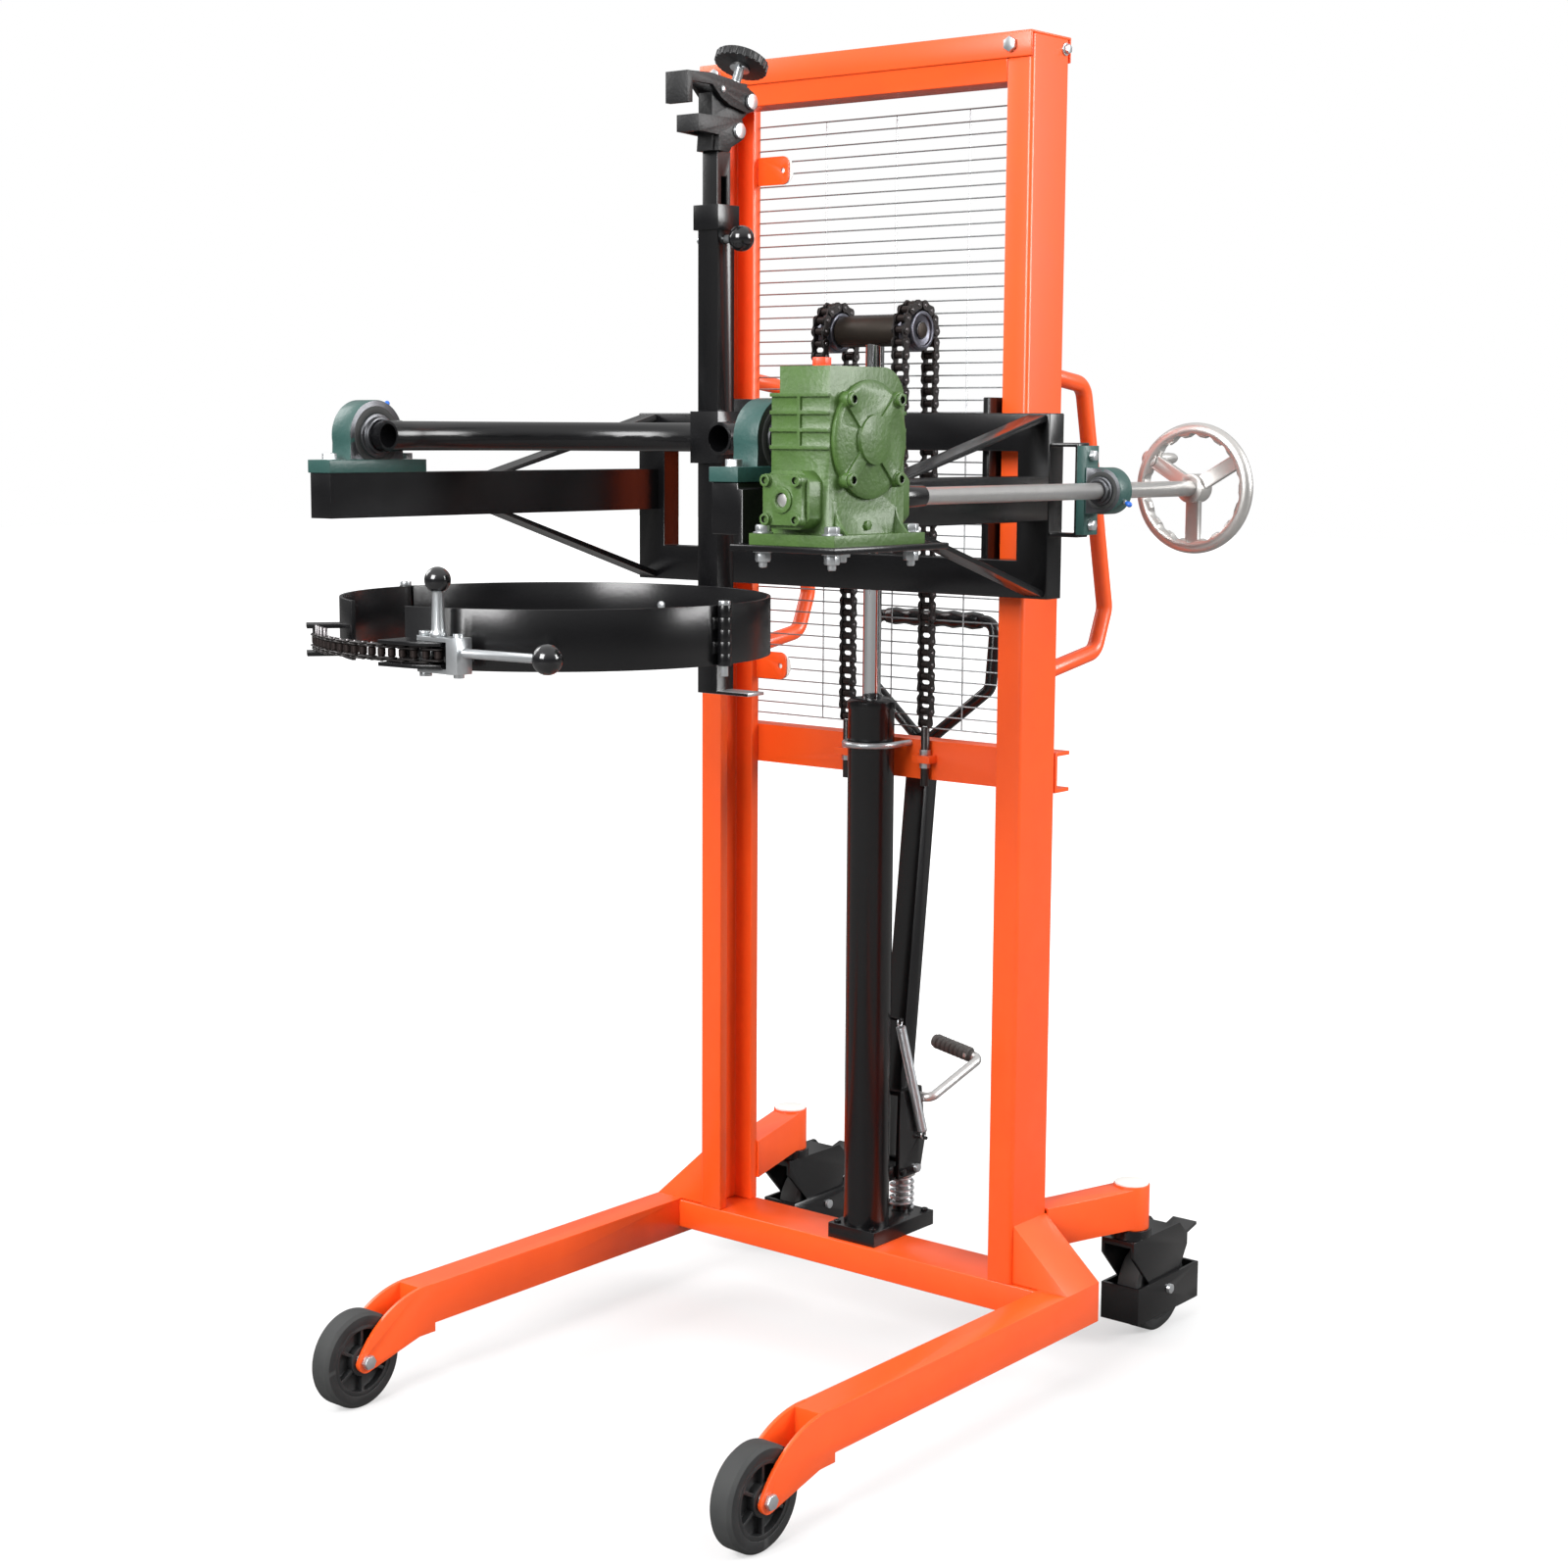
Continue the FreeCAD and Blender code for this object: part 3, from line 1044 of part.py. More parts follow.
def bearing_block(seat, out, long, length, rise, width, foot, radius, bore):
    """Cast bearing block: foot, round housing with a waist, and insert, on a seat point."""
    across = long.cross(out)
    centre = seat + out * rise
    half = length / 2

    def at(l, o, a):
        return seat + long * l + out * o + across * a

    base = prism([at(-half, 0, -width / 2), at(half, 0, -width / 2), at(half, foot, -width / 2),
                  at(-half, foot, -width / 2)], across * width)
    body = rod(radius, centre - across * (width * 0.42), centre + across * (width * 0.42))
    neck = prism([at(-radius * 1.02, 0, -width * 0.42), at(radius * 1.02, 0, -width * 0.42),
                  at(radius * 0.97, rise, -width * 0.42), at(-radius * 0.97, rise, -width * 0.42)],
                 across * (width * 0.84))
    insert = ring(radius * 0.62, bore, centre - across * (width * 0.5), centre + across * (width * 0.5))
    lock = ring(radius * 0.52, bore, centre - across * (width * 0.66), centre + across * (width * 0.66))
    cast = fused(base, body, neck)
    cast = cast.cut(rod(radius * 0.62, centre - across * width, centre + across * width))
    bolts = []
    for end in (-1, 1):
        spot = seat + long * (end * half * 0.78) + out * foot
        bolts.append(hexagon(foot * 0.6, spot, spot + out * (foot * 0.5)))
    return fused(cast, insert, lock, *bolts)


def build_drive():
    """Tilt bearings, worm gearbox, drive rod and hand wheel."""
    for side in (-1, 1):
        add("tilt_bearings", bearing_block(V(side * ARM_X, TILT_Y, ARM_TOP), AZ, AY, BLOCK_LENGTH, BLOCK_RISE,
                                           BLOCK_WIDTH, BLOCK_FOOT, BLOCK_RADIUS, SHAFT_RADIUS + FIT))
    gear = V(0, TILT_Y, TILT_Z)
    front = TILT_Y - GEAR_HALF - NOSE_LENGTH
    add("gearbox_housing", gear_housing(gear))
    add("gearbox_covers", worm_cover(front), gear_cover(gear))
    vent = V(GEAR_X0 + GEAR_STEP + VENT_RADIUS + 6, TILT_Y - 16, TILT_Z + GEAR_RISE)
    add("gearbox_covers", hexagon(VENT_RADIUS, vent, vent + AZ * VENT_RADIUS))
    drain = V(GEAR_X1, TILT_Y, SHELF_TOP + GEAR_FOOT + DRAIN_RADIUS + 4)
    add("gearbox_covers", hexagon(DRAIN_RADIUS, drain, drain + AX * 4))
    build_hand_drive()


def gear_housing(gear):
    """Cast housing: body with a rounded top, fins, worm noses, foot flange and ribs."""
    front, rear = TILT_Y - GEAR_HALF, TILT_Y + GEAR_HALF
    top = TILT_Z + GEAR_RISE
    body = block((GEAR_X0, GEAR_X1), (front, rear), (SHELF_TOP, top))
    upper = [e for e in body.Edges if e.BoundBox.XLength > 1 and e.BoundBox.ZMin > top - 1]
    body = body.makeFillet(GEAR_ROUND, [e for e in upper if e.BoundBox.YMin > TILT_Y])
    step_low = top - GEAR_STEP_DROP
    pieces = [body.cut(block((GEAR_X0 - 1, GEAR_X0 + GEAR_STEP), (front - 1, rear + 1), (step_low, top + 1)))]
    foot_top = SHELF_TOP + GEAR_FOOT
    pieces.append(block((GEAR_X0 - GEAR_FOOT_SIDE, GEAR_X1 + GEAR_FOOT_SIDE),
                        (TILT_Y - GEAR_FOOT_HALF, TILT_Y + GEAR_FOOT_HALF), (SHELF_TOP, foot_top)))
    for i in range(FIN_COUNT):
        high = step_low - i * FIN_PITCH
        pieces.append(block((GEAR_X0, GEAR_X1), (front - FIN_HEIGHT, front + 1), (high - FIN_THICK, high)))
        pieces.append(block((GEAR_X0, GEAR_X1), (rear - 1, rear + FIN_HEIGHT), (high - FIN_THICK, high)))
    fin_low = step_low - (FIN_COUNT - 1) * FIN_PITCH - FIN_THICK
    pieces.append(block((DRIVE_X - FIN_THICK / 2, DRIVE_X + FIN_THICK / 2), (front - FIN_HEIGHT, front + 1),
                        (fin_low, step_low)))
    for end, face in ((-1, front), (1, rear)):
        start = V(DRIVE_X, face - end * 5, WORM_Z)
        stop = V(DRIVE_X, face + end * NOSE_LENGTH, WORM_Z)
        square = block((DRIVE_X - NOSE_HALF, DRIVE_X + NOSE_HALF), sorted((start.y, stop.y)),
                       (WORM_Z - NOSE_HALF, WORM_Z + NOSE_HALF))
        pieces.append(rod(NOSE_HALF + 6, start, stop).common(square))
    for y in (TILT_Y - GEAR_HALF + 12, TILT_Y + GEAR_HALF - 12 - GEAR_RIB):
        pieces.append(gear_rib(y, foot_top))
    shaft = rod(SHAFT_RADIUS + FIT, gear + AX * (GEAR_X0 - 1), gear + AX * (GEAR_X1 + 1))
    reach = GEAR_HALF + NOSE_LENGTH + 1
    worm = V(DRIVE_X, TILT_Y, WORM_Z)
    return fused(*pieces).cut(shaft).cut(rod(WORM_SHAFT + FIT, worm - AY * reach, worm + AY * reach))


def gear_rib(y, low):
    """Hollow curved rib between the housing side and its foot."""
    tip = V(GEAR_X1 + GEAR_FOOT_SIDE - 2, y, low - 1)
    head = V(GEAR_X1, y, low + GEAR_RIB_RISE)
    inside = V(GEAR_X1 - 4, y, low - 1)
    back = V(GEAR_X1 - 4, y, low + GEAR_RIB_RISE)
    bend = V(GEAR_X1 + GEAR_FOOT_SIDE * 0.26, y, low + GEAR_RIB_RISE * 0.3)
    edges = [Part.Arc(tip, bend, head).toShape(), Part.LineSegment(head, back).toShape(),
             Part.LineSegment(back, inside).toShape(), Part.LineSegment(inside, tip).toShape()]
    return Part.Face(Part.Wire(edges)).extrude(V(0, GEAR_RIB, 0))


def worm_cover(face):
    """Square cover on the front worm nose, with four bolt bosses and a round lip."""
    half = NOSE_COVER
    plate = block((DRIVE_X - half, DRIVE_X + half), (face - NOSE_THICK, face), (WORM_Z - half, WORM_Z + half))
    plate = plate.makeFillet(NOSE_CORNER, [e for e in plate.Edges if e.BoundBox.YLength > NOSE_THICK - 1])
    middle = V(DRIVE_X, face, WORM_Z)
    pieces = [plate, rod(WORM_SHAFT + 7, middle, middle - AY * (NOSE_THICK + 3))]
    inset = half - BOSS_RADIUS + 3
    for x in (-inset, inset):
        for z in (-inset, inset):
            foot = middle + V(x, 0, z)
            pieces.append(rod(BOSS_RADIUS - 2, foot, foot - AY * (NOSE_THICK + 2)))
    return fused(*pieces).cut(rod(WORM_SHAFT + FIT, middle + AY, middle - AY * (NOSE_THICK + 4)))


def gear_cover(gear):
    """Round side cover with a raised middle and four bolted arms."""
    face = gear + AX * GEAR_X1
    disc = turned([(0, 0), (0, COVER_RADIUS), (5, COVER_RADIUS), (8, COVER_RADIUS - 6), (8, 0)], face, AX, AZ)
    pieces = [disc, rod(COVER_BOSS, face, face + AX * GEAR_COVER)]
    for turn in (45, 135, 225, 315):
        arm = block((face.x, face.x + GEAR_COVER - 3), (TILT_Y - BOSS_RADIUS + 1, TILT_Y + BOSS_RADIUS - 1),
                    (TILT_Z + COVER_BOSS - 6, TILT_Z + COVER_BOLTS))
        end = V(face.x, TILT_Y, TILT_Z + COVER_BOLTS)
        boss = rod(BOSS_RADIUS, end, end + AX * (GEAR_COVER - 1))
        pieces.append(fused(arm, boss).rotate(gear, AX, turn))
    return fused(*pieces)


def build_hand_drive():
    """Worm shaft, coupling, drive rod, its bearing, hand wheel and crank grip."""
    start = V(DRIVE_X, TILT_Y - GEAR_HALF - NOSE_LENGTH - NOSE_THICK + 1, WORM_Z)
    joint = V(DRIVE_X, TILT_Y + GEAR_HALF + NOSE_LENGTH + COUPLING_GAP, WORM_Z)
    end = V(DRIVE_X, WHEEL_HAND_Y + 18, WORM_Z)
    coupling = rod(COUPLING_RADIUS, joint, joint + AY * COUPLING_LENGTH)
    add("drive_rod", fused(rod(WORM_SHAFT - FIT, start, joint + AY * 4), coupling,
                           rod(DRIVE_RADIUS - FIT, joint + AY * 10, end)))
    seat = V(DRIVE_X - ROD_BLOCK_RISE, FRAME_FRONT + FRAME_DEPTH / 2, WORM_Z)
    add("rod_bearing", bearing_block(seat, AX, AZ, ROD_BLOCK_LENGTH, ROD_BLOCK_RISE, ROD_BLOCK_WIDTH,
                                     14, ROD_BLOCK_RADIUS, DRIVE_RADIUS + FIT))
    hub = V(DRIVE_X, WHEEL_HAND_Y, WORM_Z)
    rim = Part.makeTorus(WHEEL_HAND_RADIUS - WHEEL_HAND_RIM, WHEEL_HAND_RIM, hub, AY)
    dents = []
    dent_reach = WHEEL_HAND_RADIUS - 2 * WHEEL_HAND_RIM - DENT_RADIUS * 0.4
    for i in range(GRIP_DENTS):
        turn = math.radians(360 * (i + 0.5) / GRIP_DENTS)
        spot = hub + V(dent_reach * math.cos(turn), 0, dent_reach * math.sin(turn))
        dents.append(rod(DENT_RADIUS, spot - AY * 20, spot + AY * 20))
    boss = ring(WHEEL_HAND_HUB, DRIVE_RADIUS - FIT, hub - AY * 16, hub + AY * 16)
    spokes = []
    for i in range(3):
        spoke = block((DRIVE_X - 11, DRIVE_X + 11), (WHEEL_HAND_Y - 5, WHEEL_HAND_Y + 5),
                      (WORM_Z + WHEEL_HAND_HUB - 4, WORM_Z + WHEEL_HAND_RADIUS - WHEEL_HAND_RIM))
        spokes.append(spoke.rotate(hub, AY, 120 * i + 60))
    crank = crank_place()
    lug = rod(CRANK_LUG, crank - AY * 8, crank + AY * 14)
    pin = rod(4, crank, crank + AY * (CRANK_LENGTH + 14))
    add("hand_wheel", fused(rim.cut(dents), boss, lug, pin, *spokes))
    first = crank + AY * 14.4
    grip = CRANK_RADIUS
    add("crank_grip", turned([(0, 4 + FIT), (0, grip - 3), (4, grip - 1), (CRANK_LENGTH * 0.6, grip),
                              (CRANK_LENGTH - 8, grip - 1), (CRANK_LENGTH - 2, grip - 3),
                              (CRANK_LENGTH - 2, 4 + FIT)],
                             first, AY, AX))


def crank_place():
    """Middle of the crank lug on the hand wheel rim."""
    turn = math.radians(CRANK_ANGLE)
    reach = WHEEL_HAND_RADIUS - WHEEL_HAND_RIM
    return V(DRIVE_X + reach * math.cos(turn), WHEEL_HAND_Y, WORM_Z + reach * math.sin(turn))


def arc_band(angle0, angle1, outer, inner, low, high):
    """Curved strip of a hoop between two angles."""
    def spot(radius, degrees):
        turn = math.radians(degrees)
        return V(radius * math.cos(turn), TILT_Y + radius * math.sin(turn), low)

    middle = (angle0 + angle1) / 2
    edges = [Part.Arc(spot(outer, angle0), spot(outer, middle), spot(outer, angle1)).toShape(),
             Part.LineSegment(spot(outer, angle1), spot(inner, angle1)).toShape(),
             Part.Arc(spot(inner, angle1), spot(inner, middle), spot(inner, angle0)).toShape(),
             Part.LineSegment(spot(inner, angle0), spot(outer, angle0)).toShape()]
    return Part.Face(Part.Wire(edges)).extrude(V(0, 0, high - low))


def build_holder():
    """Yoke with its shafts, spine, rear band and hinge pins."""
    half = YOKE_HALF
    z = TILT_Z
    tip = TILT_Y - YOKE_RADIUS - 1
    path = Part.Wire([Part.LineSegment(V(-half, tip, z), V(-half, YOKE_CENTRE, z)).toShape(),
                      Part.Arc(V(-half, YOKE_CENTRE, z), V(0, YOKE_REAR, z), V(half, YOKE_CENTRE, z)).toShape(),
                      Part.LineSegment(V(half, YOKE_CENTRE, z), V(half, tip, z)).toShape()])
    tube = swept(path, YOKE_RADIUS)
    bore = swept(path, YOKE_RADIUS - YOKE_WALL)
    left = rod(SHAFT_RADIUS, V(-half, TILT_Y, z), V(-ARM_X - BLOCK_WIDTH * 0.66 - 4, TILT_Y, z))
    right = rod(SHAFT_RADIUS, V(half, TILT_Y, z), V(GEAR_X1 - 1, TILT_Y, z))
    wide = SLEEVE_WIDTH / 2
    sleeve = block((-wide, wide), (SPINE_Y - wide, SPINE_Y + wide), (z - SLEEVE_HEIGHT / 2, z + SLEEVE_HEIGHT / 2))
    core = SPINE_WIDTH / 2
    hole = block((-core, core), (SPINE_Y - core, SPINE_Y + core), (z - SLEEVE_HEIGHT, z + SLEEVE_HEIGHT))
    add("yoke", fused(tube, left, right, sleeve).cut(bore).cut(hole))
    build_spine(core)
    build_band(core)


def build_spine(core):
    """Square spine, its collar, index pin, and the clamp tube that slides in it."""
    tube = tube_box((-core, core), (SPINE_Y - core, SPINE_Y + core), (SPINE_BOTTOM, SPINE_TOP), SPINE_WALL, "z")
    wide = COLLAR_WIDTH / 2
    collar = block((-wide, wide), (SPINE_Y - wide, SPINE_Y + wide), (SPINE_TOP - 6, SPINE_TOP + COLLAR_HEIGHT - 6))
    slide = core - SPINE_WALL - SLIDE_CLEAR
    hole = block((-slide - SLIDE_CLEAR, slide + SLIDE_CLEAR),
                 (SPINE_Y - slide - SLIDE_CLEAR, SPINE_Y + slide + SLIDE_CLEAR), (SPINE_TOP - 20, SPINE_TOP + 60))
    bar = block((-core, core + BAR_REACH), (SPINE_Y - core, SPINE_Y + core), (SPINE_BOTTOM - 5, SPINE_BOTTOM))
    pin_bore = rod(INDEX_RADIUS + FIT, V(-60, SPINE_Y, INDEX_Z), V(60, SPINE_Y, INDEX_Z))
    add("spine", fused(tube, collar, bar).cut(hole).cut(pin_bore))
    clamp = block((-slide, slide), (SPINE_Y - slide, SPINE_Y + slide), (SLIDE_BOTTOM, SLIDE_TOP))
    slot = block((-60, 60), (SPINE_Y - INDEX_RADIUS - FIT, SPINE_Y + INDEX_RADIUS + FIT),
                 (INDEX_Z - SLOT_HALF, INDEX_Z + SLOT_HALF))
    add("clamp_tube", clamp.cut(slot))
    pin = rod(INDEX_RADIUS, V(-core - 14, SPINE_Y, INDEX_Z), V(core + 16, SPINE_Y, INDEX_Z))
    ball = Part.makeSphere(BALL_RADIUS, V(core + 14 + BALL_RADIUS * 0.8, SPINE_Y, INDEX_Z))
    add("index_pin", fused(pin, ball))
    build_beak(slide)


def build_beak(slide):
    """Rim clamp: jaw head on the clamp tube, hinged upper jaw, and the knob with its screw."""
    inside = JAW_HALF - JAW_CHEEK
    column = inside - JAW_CLEAR
    pivot = V(0, JAW_PIVOT_Y, JAW_PIVOT_Z)
    bolt = V(0, LOW_BOLT_Y, LOW_BOLT_Z)
    base = SLIDE_TOP
    pieces = [prism([V(-column, LOW_PAD_Y + 39, base), V(-column, SPINE_Y + slide, base),
                     V(-column, JAW_PIVOT_Y - 12, LOW_PAD_TOP), V(-column, JAW_PIVOT_Y + 10, JAW_PIVOT_Z - 11),
                     V(-column, JAW_PIVOT_Y + 12, JAW_PIVOT_Z + 6), V(-column, JAW_PIVOT_Y - 4, JAW_PIVOT_Z + 9),
                     V(-column, LOW_PAD_Y + 39, JAW_PIVOT_Z + 7)], V(2 * column, 0, 0))]
    for x in (-JAW_HALF, inside - 1):
        pieces.append(prism([V(x, LOW_PAD_Y + 4, LOW_PAD_LOW), V(x, LOW_PAD_Y + 46, LOW_PAD_LOW - 2),
                             V(x, LOW_PAD_Y + 44, base), V(x, LOW_BOLT_Y - 28, base),
                             V(x, LOW_BOLT_Y - 2, LOW_BOLT_Z - 18),
                             V(x, LOW_BOLT_Y + 13, LOW_BOLT_Z - 10), V(x, LOW_BOLT_Y + 16, LOW_BOLT_Z + 2),
                             V(x, LOW_BOLT_Y + 8, LOW_PAD_TOP), V(x, LOW_PAD_Y + 4, LOW_PAD_TOP)],
                            V(JAW_CHEEK + 1, 0, 0)))
    pieces.append(block((-JAW_HALF, JAW_HALF), (LOW_PAD_Y, LOW_PAD_Y + 9), (LOW_PAD_LOW, LOW_PAD_TOP)))
    cheek_out = JAW_HALF + JAW_HEAD_THICK
    pieces.append(rod(JAW_HEAD, bolt - AX * cheek_out, bolt + AX * cheek_out))
    reach = JAW_HALF + 0.3 + JAW_HEAD_THICK
    pieces.append(rod(JAW_PIN, pivot - AX * reach, pivot + AX * reach))
    for side in (-1, 1):
        face = pivot + AX * (side * (JAW_HALF + 0.3))
        pieces.append(rod(JAW_HEAD, face, face + AX * (side * JAW_HEAD_THICK)))
    add("lower_jaw", fused(*pieces))
    up = V(0, math.sin(math.radians(KNOB_LEAN)), math.cos(math.radians(KNOB_LEAN)))
    seat = V(0, KNOB_Y, KNOB_Z)
    screw_bore = rod(KNOB_SCREW + FIT, seat - up * 30, seat + up * 30)
    jaw = []
    back = JAW_NOSE_Y + JAW_NOSE_THICK
    for x in (-JAW_HALF, inside):
        jaw.append(prism([V(x, back - 2, JAW_NOSE_TOP), V(x, back + 38, JAW_NOSE_TOP + 2),
                          V(x, back + 88, JAW_NOSE_TOP - 3),
                          V(x, JAW_PIVOT_Y - 6, JAW_PIVOT_Z + 20), V(x, JAW_PIVOT_Y + 11, JAW_PIVOT_Z + 12),
                          V(x, JAW_PIVOT_Y + 15, JAW_PIVOT_Z - 1), V(x, JAW_PIVOT_Y + 8, JAW_PIVOT_Z - 13),
                          V(x, JAW_PIVOT_Y - 5, JAW_PIVOT_Z - 17), V(x, back + 84, JAW_PIVOT_Z - 9),
                          V(x, back + 64, JAW_PIVOT_Z), V(x, back + 44, JAW_NOSE_TOP - 14),
                          V(x, back - 2, JAW_NOSE_TOP - 14)],
                         V(JAW_CHEEK, 0, 0)))
    jaw.append(block((-JAW_HALF, JAW_HALF), (JAW_NOSE_Y, back), (JAW_NOSE_LOW, JAW_NOSE_TOP)))
    jaw.append(block((-inside - 1, inside + 1), (KNOB_Y - 20, KNOB_Y + 12), (KNOB_Z - 4, KNOB_Z + 5)))
    bore = rod(JAW_PIN + FIT, pivot - AX * 40, pivot + AX * 40)
    add("upper_jaw", fused(*jaw).cut(bore).cut(screw_bore))
    disc = KNOB_RISE + KNOB_HEIGHT
    profile = [(-6, 0), (-6, KNOB_SCREW), (KNOB_RISE - 4, KNOB_SCREW), (KNOB_RISE - 4, 15), (KNOB_RISE, 15),
               (KNOB_RISE, KNOB_RADIUS - 1), (KNOB_RISE + 1, KNOB_RADIUS), (disc - 2, KNOB_RADIUS),
               (disc, KNOB_RADIUS - 3), (disc, 0)]
    knob = turned(profile, seat, up, AX)
    notches = []
    across = up.cross(AX)
    for i in range(KNOB_NOTCHES):
        turn = 2 * math.pi * i / KNOB_NOTCHES
        edge = seat + AX * ((KNOB_RADIUS + 1) * math.cos(turn)) + across * ((KNOB_RADIUS + 1) * math.sin(turn))
        notches.append(rod(3, edge + up * (KNOB_RISE - 2), edge + up * (disc + 2)))
    add("clamp_knob", knob.cut(notches))


def build_band(core):
    """Hoop: fixed rear band, hinged arms, pins, tightening chain and ratchet."""
    outer, inner = BAND_RADIUS, BAND_RADIUS - BAND_SHEET
    low, high = BAND_BOTTOM, BAND_TOP
    gap = math.degrees(HINGE_GAP / BAND_RADIUS)
    rear = arc_band(gap, 180 - gap, outer, inner, low, high)
    pad = block((-core, core), (TILT_Y + outer - 2, SPINE_Y - core), (low + 10, high - 10))
    pad = pad.cut(rod(inner + 1, V(0, TILT_Y, low), V(0, TILT_Y, high)))
    third = BAND_HEIGHT / 5
    pieces = [rear, pad]
    arms = {"right": arc_band(RIGHT_ARM_END, -gap, outer, inner, low, high),
            "left": arc_band(180 + gap, LEFT_ARM_END, outer, inner, low, high)}
    knuckles = {"right": [], "left": []}
    for side, name in ((1, "right"), (-1, "left")):
        x = side * HINGE_X
        for i in range(5):
            z0 = low + i * third + (0.3 if i else 0)
            z1 = low + (i + 1) * third
            sleeve = ring(KNUCKLE_RADIUS, HINGE_PIN + FIT, V(x, TILT_Y, z0), V(x, TILT_Y, z1))
            reach = 14 if i % 2 == 0 else -14
            y = sorted((TILT_Y + math.copysign(HINGE_PIN + 1, reach), TILT_Y + reach))
            tab_x = sorted((side * (inner + 1.5), side * (HINGE_X - HINGE_PIN - 1)))
            tab = block(tab_x, y, (z0, z1))
            if i % 2 == 0:
                pieces.append(fused(sleeve, tab))
            else:
                knuckles[name].append(fused(sleeve, tab))
        pin = rod(HINGE_PIN, V(x, TILT_Y, low - 14), V(x, TILT_Y, high + 2))
        head = rod(HINGE_PIN + 3, V(x, TILT_Y, high), V(x, TILT_Y, high + 6))
        add("hinge_pins", fused(pin, head))
    clear = []
    for side in (-1, 1):
        clear.append(rod(KNUCKLE_RADIUS + 0.6, V(side * HINGE_X, TILT_Y, low - 1),
                         V(side * HINGE_X, TILT_Y, high + 1)))
    body = rear.cut(clear)
    add("rear_band", fused(body, pad, *pieces[2:]))
    for name in ("left", "right"):
        add(name + "_band_arm", fused(arms[name].cut(clear), *knuckles[name]))
    build_ratchet()


def hoop_spot(radius, degrees, z):
    """Point on the hoop at an angle."""
    turn = math.radians(degrees)
    return V(radius * math.cos(turn), TILT_Y + radius * math.sin(turn), z)


def ratchet_axes():
    """Directions at the right arm's end: outward, along the hoop, and the pin's place."""
    turn = math.radians(RIGHT_ARM_END)
    face = V(math.cos(turn), math.sin(turn), 0)
    along = V(-face.y, face.x, 0)
    hub = hoop_spot(BAND_RADIUS, RIGHT_ARM_END, RATCHET_Z) + along * RATCHET_ALONG + face * RATCHET_OUT
    return face, along, hub


def build_ratchet():
    """Chain across the hoop gap, its hook, and the over-centre clevis that tightens it."""
    face, along, hub = ratchet_axes()
    seat = hoop_spot(BAND_RADIUS, RIGHT_ARM_END, RATCHET_Z)
    inner = RATCHET_GAP / 2

    def at(a, o, level):
        return seat + along * a + face * o + AZ * level

    cheeks = []
    for level in (-inner - RATCHET_PLATE, inner):
        cheeks.append(prism([at(-4, -20, level), at(-4, 46, level), at(60, 46, level), at(92, 30, level),
                             at(94, -20, level)],
                            V(0, 0, RATCHET_PLATE)))
    drum_space = rod(BAND_RADIUS - 1, V(0, TILT_Y, BAND_BOTTOM - 20), V(0, TILT_Y, BAND_TOP))
    pin_bore = rod(RATCHET_PIN, hub - AZ * 60, hub + AZ * 60)
    arm = parts.pop("right_band_arm")[0]
    add("right_band_arm", fused(arm, *[c.cut(drum_space) for c in cheeks]).cut(pin_bore))
    outer = inner + RATCHET_PLATE + CLEVIS_THICK + 0.3
    pin = rod(RATCHET_PIN, hub - AZ * (outer + 6), hub + AZ * (outer + 6))
    heads = []
    for side in (-1, 1):
        face_z = hub + AZ * (side * (outer + 0.3))
        heads.append(rod(RATCHET_PIN + 3, face_z, face_z + AZ * (side * 5.7)))
    wheel_disc = rod(RATCHET_PIN + 5, hub - AZ * 4, hub + AZ * 4)
    add("ratchet_body", fused(pin, rod(RATCHET_PIN + 3, hub - AZ * inner, hub + AZ * inner), wheel_disc, *heads))
    clevis = []
    low = inner + RATCHET_PLATE + 0.3
    for level in (-low - CLEVIS_THICK, low):
        plate = prism([at(RATCHET_ALONG, 2, level), at(RATCHET_REACH, 2, level), at(RATCHET_REACH, 30, level),
                       at(RATCHET_ALONG, 23, level)], V(0, 0, CLEVIS_THICK))
        boss = rod(11, hub + AZ * level, hub + AZ * (level + CLEVIS_THICK))
        clevis.append(fused(plate, boss))
    deep = low + CLEVIS_THICK
    clevis.append(prism([at(RATCHET_ALONG + 53, 2, -deep), at(RATCHET_REACH, 2, -deep), at(RATCHET_REACH, 30, -deep),
                         at(RATCHET_ALONG + 53, 30, -deep)], V(0, 0, 2 * deep)))
    second = at(RATCHET_ALONG + 62, 16, 0)
    clevis.append(rod(RATCHET_PIN + 2, second - AZ * (deep + 5), second + AZ * (deep + 5)))
    grip = at(RATCHET_REACH + 140, 16, 4)
    clevis.append(rod(CLEVIS_BAR, at(RATCHET_REACH - 4, 16, 4), grip))
    clevis.append(Part.makeSphere(BALL_LEVER, grip))
    handle = fused(*clevis).cut(rod(RATCHET_PIN + FIT, hub - AZ * 60, hub + AZ * 60))
    add("ratchet_handle", handle)
    foot = at(LEVER_FOOT, 16, deep + 0.3)
    lever = turned([(0, 0), (0, 11), (4, 11), (8, 9), (LEVER_TALL, 7), (LEVER_TALL, 0)], foot, AZ, AX)
    add("pawl_lever", fused(lever, Part.makeSphere(BALL_SMALL, foot + AZ * (LEVER_TALL + BALL_SMALL * 0.7))))
    build_hoop_chain(hub)


